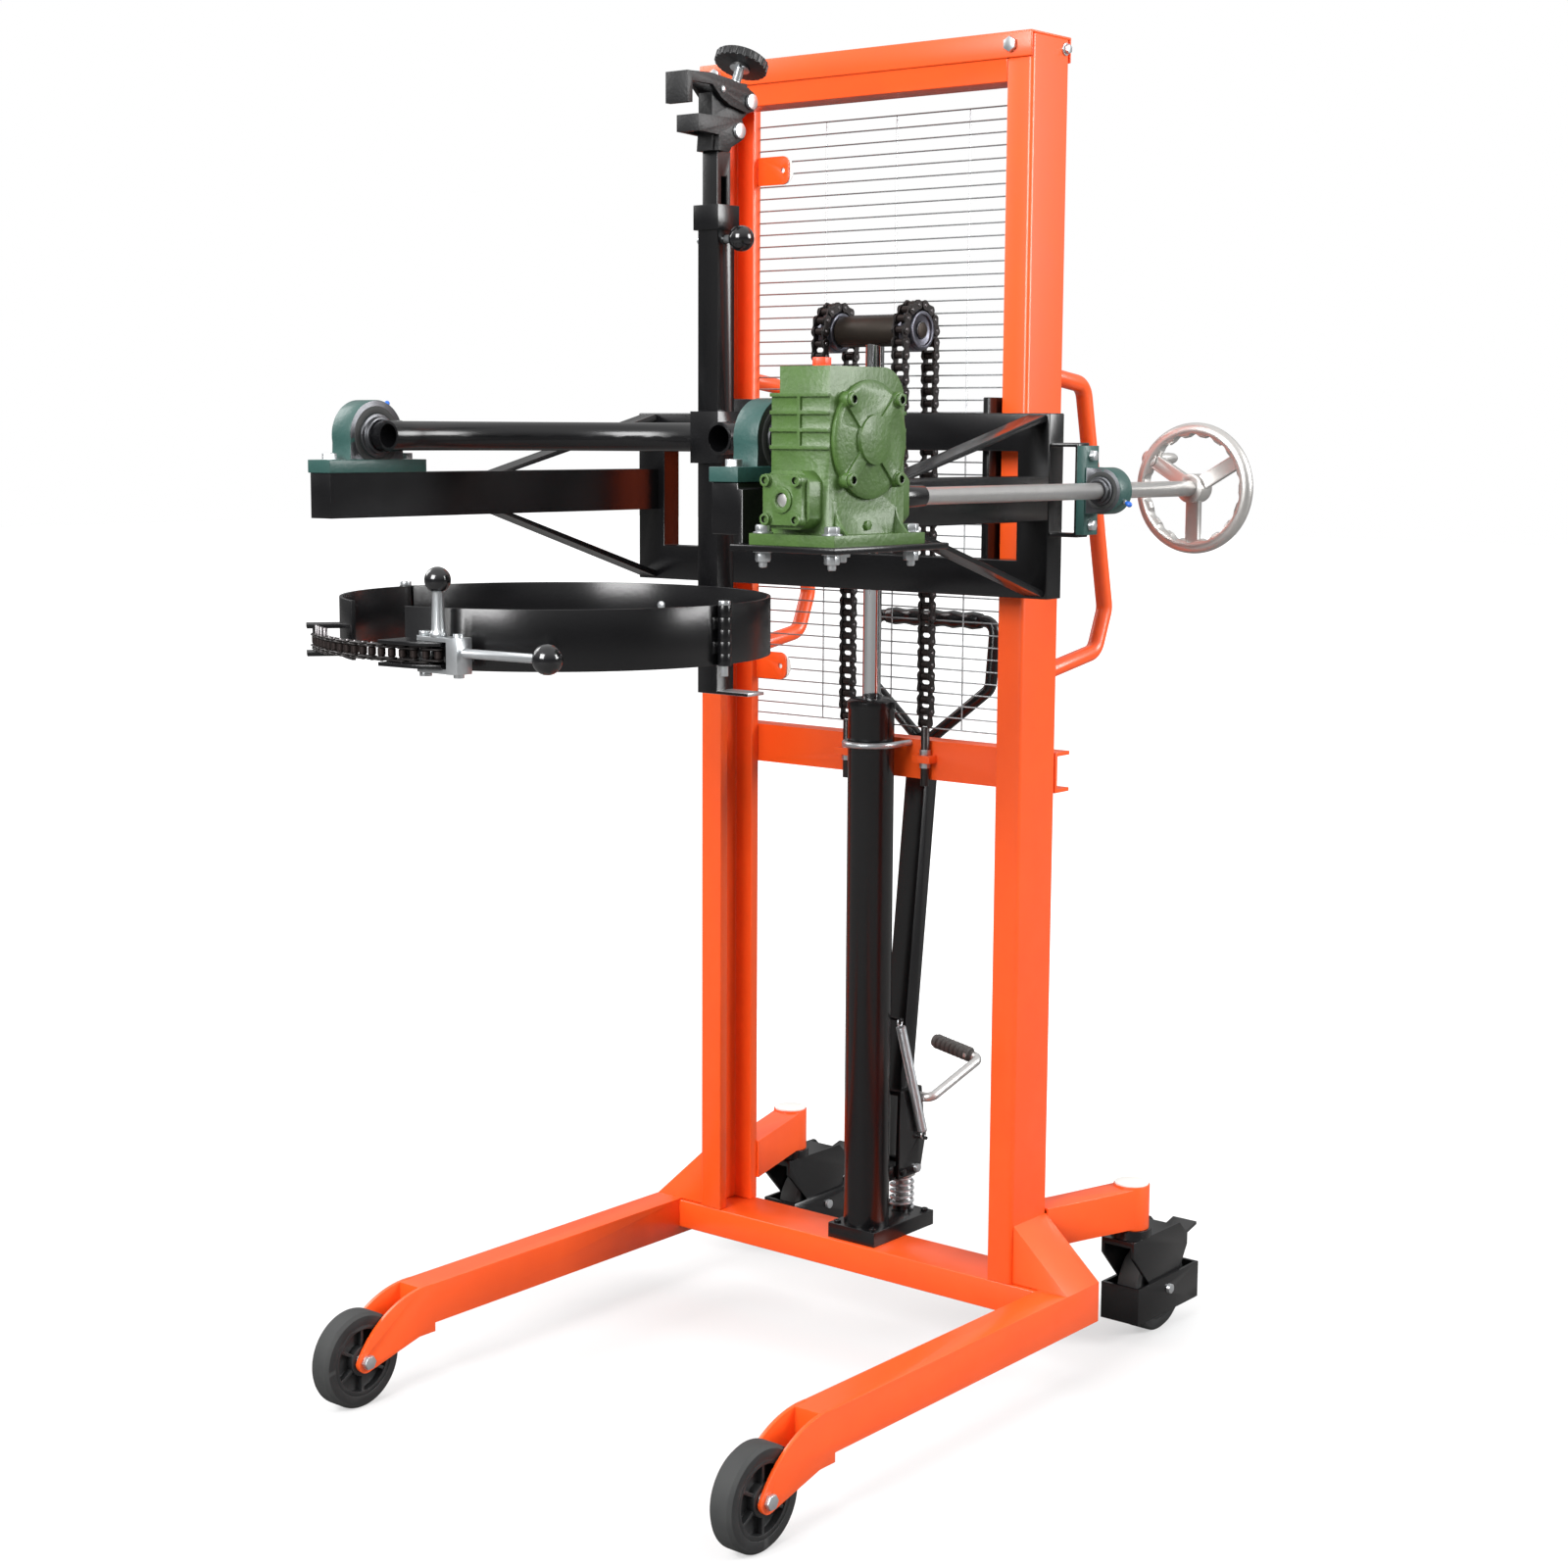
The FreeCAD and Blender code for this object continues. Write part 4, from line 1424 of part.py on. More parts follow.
def build_hoop_chain(hub):
    """Tightening chain on its arc and the hook that it ends at."""
    radius = BAND_RADIUS + CHAIN_OFFSET
    start_x = hub.x + 34
    first = math.degrees(math.asin(start_x / radius)) - 90
    pin = hoop_spot(radius, HOOK_ANGLE, RATCHET_Z)
    gap = math.degrees((HOOP_PLATE * 0.42 + HOOK_PIN + 0.4) / radius)
    step = (first + 360 - HOOK_ANGLE - gap) / HOOP_LINKS
    for i in range(HOOP_LINKS):
        near = hoop_spot(radius, first - i * step, RATCHET_Z)
        far = hoop_spot(radius, first - (i + 1) * step, RATCHET_Z)
        run = far - near
        add("hoop_chain", *chain_link(near, V(run).normalize(), AZ, HOOP_WIDTH, run.Length, HOOP_PLATE, i % 2 == 1))
        add("hoop_chain", chain_roller(near, AZ, HOOP_ROLLER_WIDTH, HOOP_ROLLER))
    out = V(pin - V(0, TILT_Y, RATCHET_Z)).normalize()
    side = V(-out.y, out.x, 0)
    root = V(0, TILT_Y, RATCHET_Z) + out * (BAND_RADIUS - 4)
    hooks = []
    for level in (-HOOK_GAP / 2 - HOOK_PLATE, HOOK_GAP / 2):
        corner = root + AZ * level - side * 16
        deep = CHAIN_OFFSET + 16
        hooks.append(prism([corner, corner + out * deep, corner + out * deep + side * 36, corner + side * 36],
                           V(0, 0, HOOK_PLATE)))
    reach = HOOK_GAP / 2 + HOOK_PLATE
    hooks.append(rod(HOOK_PIN, pin - AZ * reach, pin + AZ * reach))
    drum_space = rod(BAND_RADIUS - 1, V(0, TILT_Y, BAND_BOTTOM - 20), V(0, TILT_Y, BAND_TOP))
    arm = parts.pop("left_band_arm")[0]
    add("left_band_arm", fused(arm, *[h.cut(drum_space) for h in hooks]))


build_base()
build_front_wheels()
build_casters()
build_mast()
build_hydraulics()
build_chains()
build_pump()
build_carriage()
build_drive()
build_holder()

# The origin is the middle of the part's box, on the floor
whole = Part.Compound([solid for solids in parts.values() for solid in solids])
box = whole.optimalBoundingBox()
SHIFT = V(-(box.XMin + box.XMax) / 2, -(box.YMin + box.YMax) / 2, -box.ZMin)

os.makedirs("parts", exist_ok=True)
for node, solids in parts.items():
    shape = solids[0] if len(solids) == 1 else Part.Compound(solids)
    shape = shape.copy()
    shape.translate(SHIFT)
    shape.exportStep("parts/" + node + ".step")
print(len(parts), "nodes", "shift", SHIFT, "box", box)
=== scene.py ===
"""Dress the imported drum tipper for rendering.

The CAD frame gives every place and size. Each node is copied, merged, eased at its edges and
given its finish; chains, wires, bolts and other small pieces are modelled on top of it.
"""
from __future__ import annotations

import json
import logging
import math
from contextlib import AbstractContextManager, contextmanager
from dataclasses import dataclass
from enum import Enum
from typing import Callable, Iterator, Sequence

import bpy
from mathutils import Matrix, Vector

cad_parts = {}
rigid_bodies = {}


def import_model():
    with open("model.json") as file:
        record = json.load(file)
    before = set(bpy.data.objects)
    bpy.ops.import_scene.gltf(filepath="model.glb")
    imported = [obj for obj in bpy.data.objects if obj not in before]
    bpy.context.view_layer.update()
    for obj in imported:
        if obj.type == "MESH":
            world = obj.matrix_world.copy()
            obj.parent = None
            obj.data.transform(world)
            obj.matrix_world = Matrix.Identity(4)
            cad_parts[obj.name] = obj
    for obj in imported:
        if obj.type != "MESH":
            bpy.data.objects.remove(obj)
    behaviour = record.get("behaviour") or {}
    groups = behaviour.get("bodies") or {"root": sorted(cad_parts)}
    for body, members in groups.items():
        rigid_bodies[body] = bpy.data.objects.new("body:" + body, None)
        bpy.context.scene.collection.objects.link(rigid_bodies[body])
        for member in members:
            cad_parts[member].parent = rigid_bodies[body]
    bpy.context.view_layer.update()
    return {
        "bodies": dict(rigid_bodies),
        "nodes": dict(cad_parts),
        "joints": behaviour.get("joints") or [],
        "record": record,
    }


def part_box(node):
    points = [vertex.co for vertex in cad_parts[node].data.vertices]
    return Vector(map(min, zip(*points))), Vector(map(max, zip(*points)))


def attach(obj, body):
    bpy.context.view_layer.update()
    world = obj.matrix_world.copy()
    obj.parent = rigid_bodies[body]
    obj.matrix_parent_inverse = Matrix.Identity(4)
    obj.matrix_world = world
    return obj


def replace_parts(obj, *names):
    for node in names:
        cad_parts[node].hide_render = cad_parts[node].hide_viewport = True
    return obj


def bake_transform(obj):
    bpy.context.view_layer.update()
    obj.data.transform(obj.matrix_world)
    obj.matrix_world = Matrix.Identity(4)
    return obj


LOG = logging.getLogger("drum_tipper")
MM = 0.001
RIGHT, FRONT = Vector((1, 0, 0)), Vector((0, -1, 0))
UP, DOWN = Vector((0, 0, 1)), Vector((0, 0, -1))
Piece = bpy.types.Object
Test = Callable[[Vector, Vector], bool]
Triple = tuple[float, float, float]
Pair = tuple[float, float]
# Sockets of the mix node, first for values and then for colours
VALUE_A, VALUE_B, COLOUR_A, COLOUR_B, COLOUR_OUT = 2, 3, 6, 7, 2


def linear(code: str) -> tuple[float, float, float, float]:
    """Turn an sRGB hex colour into linear RGBA.

    Args:
        code: six hex digits.

    Returns:
        Linear red, green, blue and an alpha of one.
    """
    values = []
    for start in (0, 2, 4):
        share = int(code[start:start + 2], 16) / 255
        values.append(share / 12.92 if share <= 0.04045 else ((share + 0.055) / 1.055) ** 2.4)
    return values[0], values[1], values[2], 1.0


@dataclass(frozen=True)
class Coat:
    """What a surface is made of and how it meets light.

    Attributes:
        label: common name of the material and its finish.
        colour: main sRGB colour.
        tint: second sRGB colour of its uneven patches.
        metallic: share of metal.
        roughness: mean roughness.
        coat: clear coat weight.
        patch_mm: size of the uneven patches.
        grain_mm: size of the fine grain.
        relief_mm: height of the fine grain.
    """

    label: str
    colour: str
    tint: str
    metallic: float = 0.0
    roughness: float = 0.4
    coat: float = 0.0
    patch_mm: float = 60.0
    grain_mm: float = 2.0
    relief_mm: float = 0.0


class Finish(Enum):
    """Finishes of the machine."""

    # Powder coat: even colour, faint orange peel
    ORANGE = Coat("orange powder coat", "F45A1D", "EC5116", roughness=0.36, coat=0.2, grain_mm=3.0,
                  relief_mm=0.03)
    # Gloss paint over tube: deep, with soft highlights
    BLACK = Coat("black gloss paint", "0A0A0B", "0F0F11", roughness=0.24, grain_mm=6.0, relief_mm=0.08)
    # Painted rough casting: dull black with a pebbled skin
    CAST = Coat("black paint on castings", "111113", "0B0B0C", roughness=0.5, patch_mm=12, grain_mm=5.0,
                relief_mm=0.5)
    # Painted sand casting: pebbled, slightly uneven; the grain is drawn coarser than real, so that it shows
    GREEN = Coat("green paint on cast iron", "4B6A31", "3B5626", roughness=0.46, coat=0.1, patch_mm=24,
                 grain_mm=7.0, relief_mm=0.9)
    TEAL = Coat("teal paint on cast iron", "2A514C", "224440", roughness=0.46, coat=0.1, patch_mm=30,
                grain_mm=7.0, relief_mm=0.6)
    # Zinc plate: pale grey metal with cloudy patches
    ZINC = Coat("zinc plated steel", "CFD2D4", "B4B8BB", metallic=0.85, roughness=0.32, patch_mm=12)
    # Hard chrome: bright, with sharp reflections
    CHROME = Coat("hard chrome", "D8DADC", "CFD2D4", metallic=1.0, roughness=0.12, patch_mm=80)
    # Cast aluminium, rubbed down: warm grey with broad highlights
    ALUMINIUM = Coat("satin aluminium", "D3D1CE", "C2C0BD", metallic=0.85, roughness=0.36, patch_mm=25)
    # Drawn bar: even bright grey
    BAR = Coat("drawn steel bar", "D2D1CF", "BDBCBB", metallic=0.85, roughness=0.36, patch_mm=20)
    # Roller chain: dark plates with an oil film, browner rollers, bright worn pin ends
    CHAIN = Coat("oiled chain steel", "4A4747", "3A3736", metallic=0.85, roughness=0.36, patch_mm=9)
    ROLLER = Coat("blued roller steel", "3B3230", "2B2524", metallic=0.7, roughness=0.35, patch_mm=7)
    PIN = Coat("worn pin steel", "8C8889", "767274", metallic=0.9, roughness=0.3, patch_mm=5)
    # Phosphate coating: brown black and dull
    CROSSHEAD = Coat("dark phosphated steel", "3B332C", "2E2823", metallic=0.6, roughness=0.45, patch_mm=14)
    # Turned and ground steel: mid grey; the ground bearing steel is darker, partly its own dark grey and
    # partly painted shade round the seals
    PULLEY = Coat("turned pulley steel", "6E6F78", "5C5D66", metallic=0.85, roughness=0.34, patch_mm=12)
    BEARING = Coat("ground bearing steel", "5F6063", "4C4D50", metallic=0.9, roughness=0.4, patch_mm=15)
    # Moulded rubber: dull, grey on the grip and nearly black on tyres and seals
    GRIP = Coat("grey grip rubber", "4C4947", "403D3B", roughness=0.65, patch_mm=18, grain_mm=1.5,
                relief_mm=0.05)
    RUBBER = Coat("black rubber", "2B2C2D", "3A3B3A", roughness=0.72, patch_mm=25, grain_mm=1.6,
                  relief_mm=0.05)
    # Moulded plastics: satin wheel centres, glossy ball knobs, white caps, a bright plug and nipple caps
    NYLON = Coat("black nylon", "1B1C1D", "232425", roughness=0.45, patch_mm=25)
    BALL = Coat("black phenolic", "0E0E10", "131315", roughness=0.16, coat=0.5, patch_mm=40)
    CAP = Coat("white polythene", "E9E8E4", "E0DFDB", roughness=0.5, patch_mm=30)
    PLUG = Coat("orange plastic", "EF4A22", "E2421C", roughness=0.35, patch_mm=20)
    BLUE = Coat("blue plastic", "2E6BD0", "2962C2", roughness=0.3, patch_mm=10)
    # Galvanised wire: flat pale grey
    WIRE = Coat("galvanised wire", "A7A9AA", "94979A", metallic=0.9, roughness=0.4, patch_mm=10)


def add_node(tree: bpy.types.NodeTree, kind: str, settings: dict | None = None,
             links: dict | None = None) -> bpy.types.Node:
    """Add one shader node.

    Args:
        tree: node tree to add it to.
        kind: Blender's type name.
        settings: attributes by name and socket values by index or name.
        links: sockets of other nodes to join, by input name or index.

    Returns:
        The new node.
    """
    node = tree.nodes.new(kind)
    for key, value in (settings or {}).items():
        if isinstance(key, str) and hasattr(node, key):
            setattr(node, key, value)
        else:
            node.inputs[key].default_value = value
    for key, socket in (links or {}).items():
        tree.links.new(socket, node.inputs[key])
    return node


def mix_colours(tree: bpy.types.NodeTree, first: str, second: str,
                share: bpy.types.NodeSocket) -> bpy.types.NodeSocket:
    """Mix two colours.

    Args:
        tree: node tree of the material.
        first: sRGB colour where the share is nought.
        second: sRGB colour where the share is one.
        share: socket that gives the share.

    Returns:
        Socket of the mixed colour.
    """
    node = add_node(tree, "ShaderNodeMix", {"data_type": "RGBA", COLOUR_A: linear(first),
                                            COLOUR_B: linear(second)}, {0: share})
    return node.outputs[COLOUR_OUT]


class Paints:
    """Makes each material once and hands it out."""

    spread = 0.12
    coat_roughness = 0.12

    def __init__(self) -> None:
        """Start with no materials."""
        self.made: dict[Finish, bpy.types.Material] = {}

    def get(self, finish: Finish) -> bpy.types.Material:
        """Return the material of a finish."""
        if finish not in self.made:
            self.made[finish] = self.mix(finish.value)
        return self.made[finish]

    def mix(self, coat: Coat) -> bpy.types.Material:
        """Build a material from its coat.

        Args:
            coat: what the surface is.

        Returns:
            The new material.
        """
        material = bpy.data.materials.new(coat.label)
        material.use_nodes = True
        tree = material.node_tree
        shader = tree.nodes["Principled BSDF"]
        shader.inputs["Metallic"].default_value = coat.metallic
        shader.inputs["Coat Weight"].default_value = coat.coat
        shader.inputs["Coat Roughness"].default_value = self.coat_roughness
        place = add_node(tree, "ShaderNodeTexCoord")
        patches = add_node(tree, "ShaderNodeTexNoise", {"Scale": 1 / (coat.patch_mm * MM), "Detail": 3.0},
                           {"Vector": place.outputs["Object"]})
        colour = mix_colours(tree, coat.colour, coat.tint, patches.outputs[0])
        tree.links.new(colour, shader.inputs["Base Color"])
        rough = add_node(tree, "ShaderNodeMapRange", {"To Min": coat.roughness * (1 - self.spread),
                                                      "To Max": coat.roughness * (1 + self.spread)},
                         {"Value": patches.outputs[0]})
        tree.links.new(rough.outputs[0], shader.inputs["Roughness"])
        if coat.relief_mm:
            grain = add_node(tree, "ShaderNodeTexNoise", {"Scale": 1 / (coat.grain_mm * MM), "Detail": 2.0},
                             {"Vector": place.outputs["Object"]})
            bump = add_node(tree, "ShaderNodeBump", {"Distance": coat.relief_mm * MM},
                            {"Height": grain.outputs[0]})
            tree.links.new(bump.outputs[0], shader.inputs["Normal"])
        return material


class Bench:
    """Shared modelling moves: copy a CAD node, add a primitive, finish a mesh."""

    elements = {"FACE": "polygons", "EDGE": "edges", "VERT": "vertices"}
    merge_mm = 0.004
    flat_angle = 0.6
    bevel_angle = 42.0
    smooth_angle = 38.0
    upright = 0.99
    top_slack_m = 1e-6
    wire_sides = 7
    ring_steps = (32, 8)
    ring_squash = 0.9

    def __init__(self, frame: dict, paints: Paints) -> None:
        """Keep the frame and the paints."""
        self.frame = frame
        self.paints = paints
        self.node_body = {}
        for body, nodes in frame["record"]["behaviour"]["bodies"].items():
            for node in nodes:
                self.node_body[node] = body

    @staticmethod
    def pick(*pieces: Piece) -> None:
        """Select these pieces alone, the first one active."""
        bpy.ops.object.select_all(action="DESELECT")
        for piece in pieces:
            piece.select_set(True)
        bpy.context.view_layer.objects.active = pieces[0]

    @contextmanager
    def editing(self, piece: Piece, kind: str | None = None, test: Callable | None = None) -> Iterator[None]:
        """Hold a piece in edit mode with all of it selected, or only what passes a test.

        Args:
            piece: mesh object.
            kind: FACE, EDGE or VERT, where there is a test.
            test: test of one element.

        Returns:
            Nothing to work with; the piece is back in object mode afterwards.
        """
        self.pick(piece)
        bpy.ops.object.mode_set(mode="EDIT")
        if test:
            bpy.ops.mesh.select_mode(type=kind)
            bpy.ops.mesh.select_all(action="DESELECT")
            bpy.ops.object.mode_set(mode="OBJECT")
            for element in getattr(piece.data, self.elements[kind]):
                element.select = test(element)
            bpy.ops.object.mode_set(mode="EDIT")
        else:
            bpy.ops.mesh.select_all(action="SELECT")
        yield
        bpy.ops.object.mode_set(mode="OBJECT")

    def editing_top(self, piece: Piece) -> AbstractContextManager[None]:
        """Hold a piece in edit mode with only its top face selected."""
        top = max(v.co.z for v in piece.data.vertices) - self.top_slack_m
        return self.editing(piece, "FACE", lambda f: f.normal.z > self.upright and f.center.z > top)

    def ease(self, piece: Piece, width_mm: float, segments: int = 2) -> None:
        """Round the sharp edges and smooth the shading.

        Args:
            piece: mesh object.
            width_mm: width of the rounding.
            segments: steps across it.
        """
        self.pick(piece)
        if width_mm:
            bevel = piece.modifiers.new("eased edges", "BEVEL")
            bevel.width = width_mm * MM
            bevel.segments = segments
            bevel.limit_method = "ANGLE"
            bevel.angle_limit = math.radians(self.bevel_angle)
            bpy.ops.object.modifier_apply(modifier=bevel.name)
        bpy.ops.object.shade_smooth_by_angle(angle=math.radians(self.smooth_angle))

    def dress(self, node: str, finish: Finish, width_mm: float = 1.0,
              regions: Sequence[tuple[Finish, Test]] = (), ride: bool = True) -> Piece:
        """Copy a CAD node, ease its edges and paint it.

        Args:
            node: CAD node to stand in for.
            finish: finish of most of it.
            width_mm: width of the eased edges.
            regions: other finishes, each with a test of a face's centre and normal.
            ride: whether it rides on its body as it is.

        Returns:
            The dressed piece.
        """
        source = self.frame["nodes"][node]
        piece = source.copy()
        piece.data = source.data.copy()
        piece.parent = None
        for key in list(piece.keys()):
            del piece[key]
        piece.name = node + "_piece"
        bpy.context.scene.collection.objects.link(piece)
        with self.editing(piece):
            bpy.ops.mesh.remove_doubles(threshold=self.merge_mm * MM)
            bpy.ops.mesh.dissolve_limited(angle_limit=math.radians(self.flat_angle))
        self.ease(piece, width_mm)
        self.paint(piece, finish, regions)
        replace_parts(piece, node)
        if ride:
            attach(piece, self.node_body[node])
        LOG.info("dressed %s", node)
        return piece

    def paint(self, piece: Piece, finish: Finish, regions: Sequence[tuple[Finish, Test]] = ()) -> None:
        """Give a piece its materials, by region.

        Args:
            piece: mesh object.
            finish: finish of most of it.
            regions: other finishes with their tests.
        """
        piece.data.materials.clear()
        piece.data.materials.append(self.paints.get(finish))
        for other, _ in regions:
            piece.data.materials.append(self.paints.get(other))
        for face in piece.data.polygons:
            face.material_index = 0
            for index, (_, test) in enumerate(regions, start=1):
                if test(face.center, face.normal):
                    face.material_index = index

    @staticmethod
    def start(add: Callable, **settings: object) -> Piece:
        """Start a piece from a primitive, its place and turn applied to its mesh.

        Args:
            add: Blender's operator for the primitive.
            settings: what the operator is given.

        Returns:
            The new object.
        """
        bpy.ops.object.select_all(action="DESELECT")
        add(**settings)
        bpy.ops.object.transform_apply(location=True, rotation=True, scale=True)
        return bpy.context.active_object

    def bar(self, radius_mm: float, length_mm: float, sides: int = 24) -> Piece:
        """Start a piece from a round or polygonal bar that stands on the origin.

        Args:
            radius_mm: its radius.
            length_mm: its height along Z.
            sides: number of sides.

        Returns:
            The new object.
        """
        return self.start(bpy.ops.mesh.primitive_cylinder_add, vertices=sides, radius=radius_mm * MM,
                          depth=length_mm * MM, location=(0, 0, length_mm * MM / 2))

    def slab(self, x_mm: float, y_mm: float, z_mm: float) -> Piece:
        """Start a piece from a block, centred in X and Y, that stands on the origin.

        Args:
            x_mm: its width.
            y_mm: its depth.
            z_mm: its height.

        Returns:
            The new object.
        """
        return self.start(bpy.ops.mesh.primitive_cube_add, size=1, location=(0, 0, z_mm * MM / 2),
                          scale=(x_mm * MM, y_mm * MM, z_mm * MM))

    def grow(self, piece: Piece, lift_mm: float, scale: float = 1.0) -> None:
        """Extrude the top face of a piece straight up and scale it about the Z axis.

        Args:
            piece: mesh object with its top face highest.
            lift_mm: how far up.
            scale: size of the new top face against the old one.
        """
        with self.editing_top(piece):
            bpy.ops.mesh.extrude_region_move(TRANSFORM_OT_translate={"value": (0, 0, lift_mm * MM)})
            if scale != 1.0:
                bpy.ops.transform.resize(value=(scale, scale, 1), center_override=(0, 0, 0))

    def sink(self, piece: Piece, wall_mm: float, depth_mm: float) -> None:
        """Inset the top face of a piece and push the inner face down.

        Args:
            piece: mesh object.
            wall_mm: width of the rim that stays.
            depth_mm: depth of the recess.
        """
        with self.editing_top(piece):
            bpy.ops.mesh.inset(thickness=wall_mm * MM, depth=0)
            bpy.ops.mesh.extrude_region_move(TRANSFORM_OT_translate={"value": (0, 0, -depth_mm * MM)})

    @staticmethod
    def stand(point: Vector, axis: Vector, spin: float = 0.0) -> Matrix:
        """Place of a piece that stands on a point and points along an axis.

        Args:
            point: its foot.
            axis: direction of its own Z.
            spin: turn about that axis in degrees.

        Returns:
            The matrix of that place.
        """
        turn = axis.to_track_quat("Z", "Y").to_matrix().to_4x4()
        return Matrix.Translation(point) @ turn @ Matrix.Rotation(math.radians(spin), 4, "Z")

    def copies(self, model: Piece, places: Sequence[Matrix]) -> list[Piece]:
        """Copy a model to each place, each copy with its own mesh, and drop the model.

        Args:
            model: finished mesh at the origin.
            places: where the copies go.

        Returns:
            The copies.
        """
        made = []
        for place in places:
            copy = model.copy()
            copy.data = model.data.copy()
            copy.data.transform(place)
            bpy.context.scene.collection.objects.link(copy)
            made.append(copy)
        bpy.data.objects.remove(model, do_unlink=True)
        return made

    def join(self, pieces: Sequence[Piece]) -> Piece:
        """Join pieces into one mesh."""
        self.pick(*pieces)
        if len(pieces) > 1:
            bpy.ops.object.join()
        return bpy.context.active_object

    def keep(self, pieces: Sequence[Piece], name: str, body: str | None) -> Piece:
        """Join painted pieces under one name and let them ride.

        Args:
            pieces: painted meshes.
            name: name of the joined piece.
            body: body it rides on, or None if it spans two bodies and rides on neither.

        Returns:
            The joined piece.
        """
        piece = self.join(pieces)
        piece.name = name
        piece.data.name = name
        if body:
            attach(piece, body)
        LOG.info("made %s", name)
        return piece

    def coil(self, turns: float, radius_mm: float, wire_mm: float, length_mm: float, steps: int) -> Piece:
        """Wind a spring about the Z axis from a round wire.

        Args:
            turns: number of turns.
            radius_mm: radius to the middle of the wire.
            wire_mm: radius of the wire.
            length_mm: length of the winding.
            steps: steps in each turn.

        Returns:
            The new object.
        """
        piece = self.start(bpy.ops.mesh.primitive_circle_add, vertices=self.wire_sides, radius=wire_mm * MM,
                           fill_type="NGON", location=(radius_mm * MM, 0, 0), rotation=(math.pi / 2, 0, 0))
        with self.editing(piece):
            bpy.ops.mesh.delete(type="ONLY_FACE")
        winding = piece.modifiers.new("winding", "SCREW")
        winding.angle = 2 * math.pi * turns
        winding.screw_offset = length_mm * MM
        winding.steps = int(turns * steps)
        winding.render_steps = winding.steps
        winding.use_merge_vertices = False
        bpy.ops.object.modifier_apply(modifier=winding.name)
        with self.editing(piece):
            bpy.ops.mesh.fill_holes(sides=0)
            bpy.ops.mesh.normals_make_consistent(inside=False)
        self.ease(piece, 0)
        return piece

    def ring(self, radius_mm: float, wire_mm: float) -> Piece:
        """Bend a round wire into a closed ring in the XY plane.

        Args:
            radius_mm: radius to the middle of the wire.
            wire_mm: radius of the wire.

        Returns:
            The new object.
        """
        around, across = self.ring_steps
        piece = self.start(bpy.ops.mesh.primitive_torus_add, major_radius=radius_mm * MM,
                           minor_radius=wire_mm * MM, major_segments=around, minor_segments=across)
        with self.editing(piece):
            bpy.ops.transform.resize(value=(1, 1, self.ring_squash), center_override=(0, 0, 0))
        self.ease(piece, 0)
        return piece


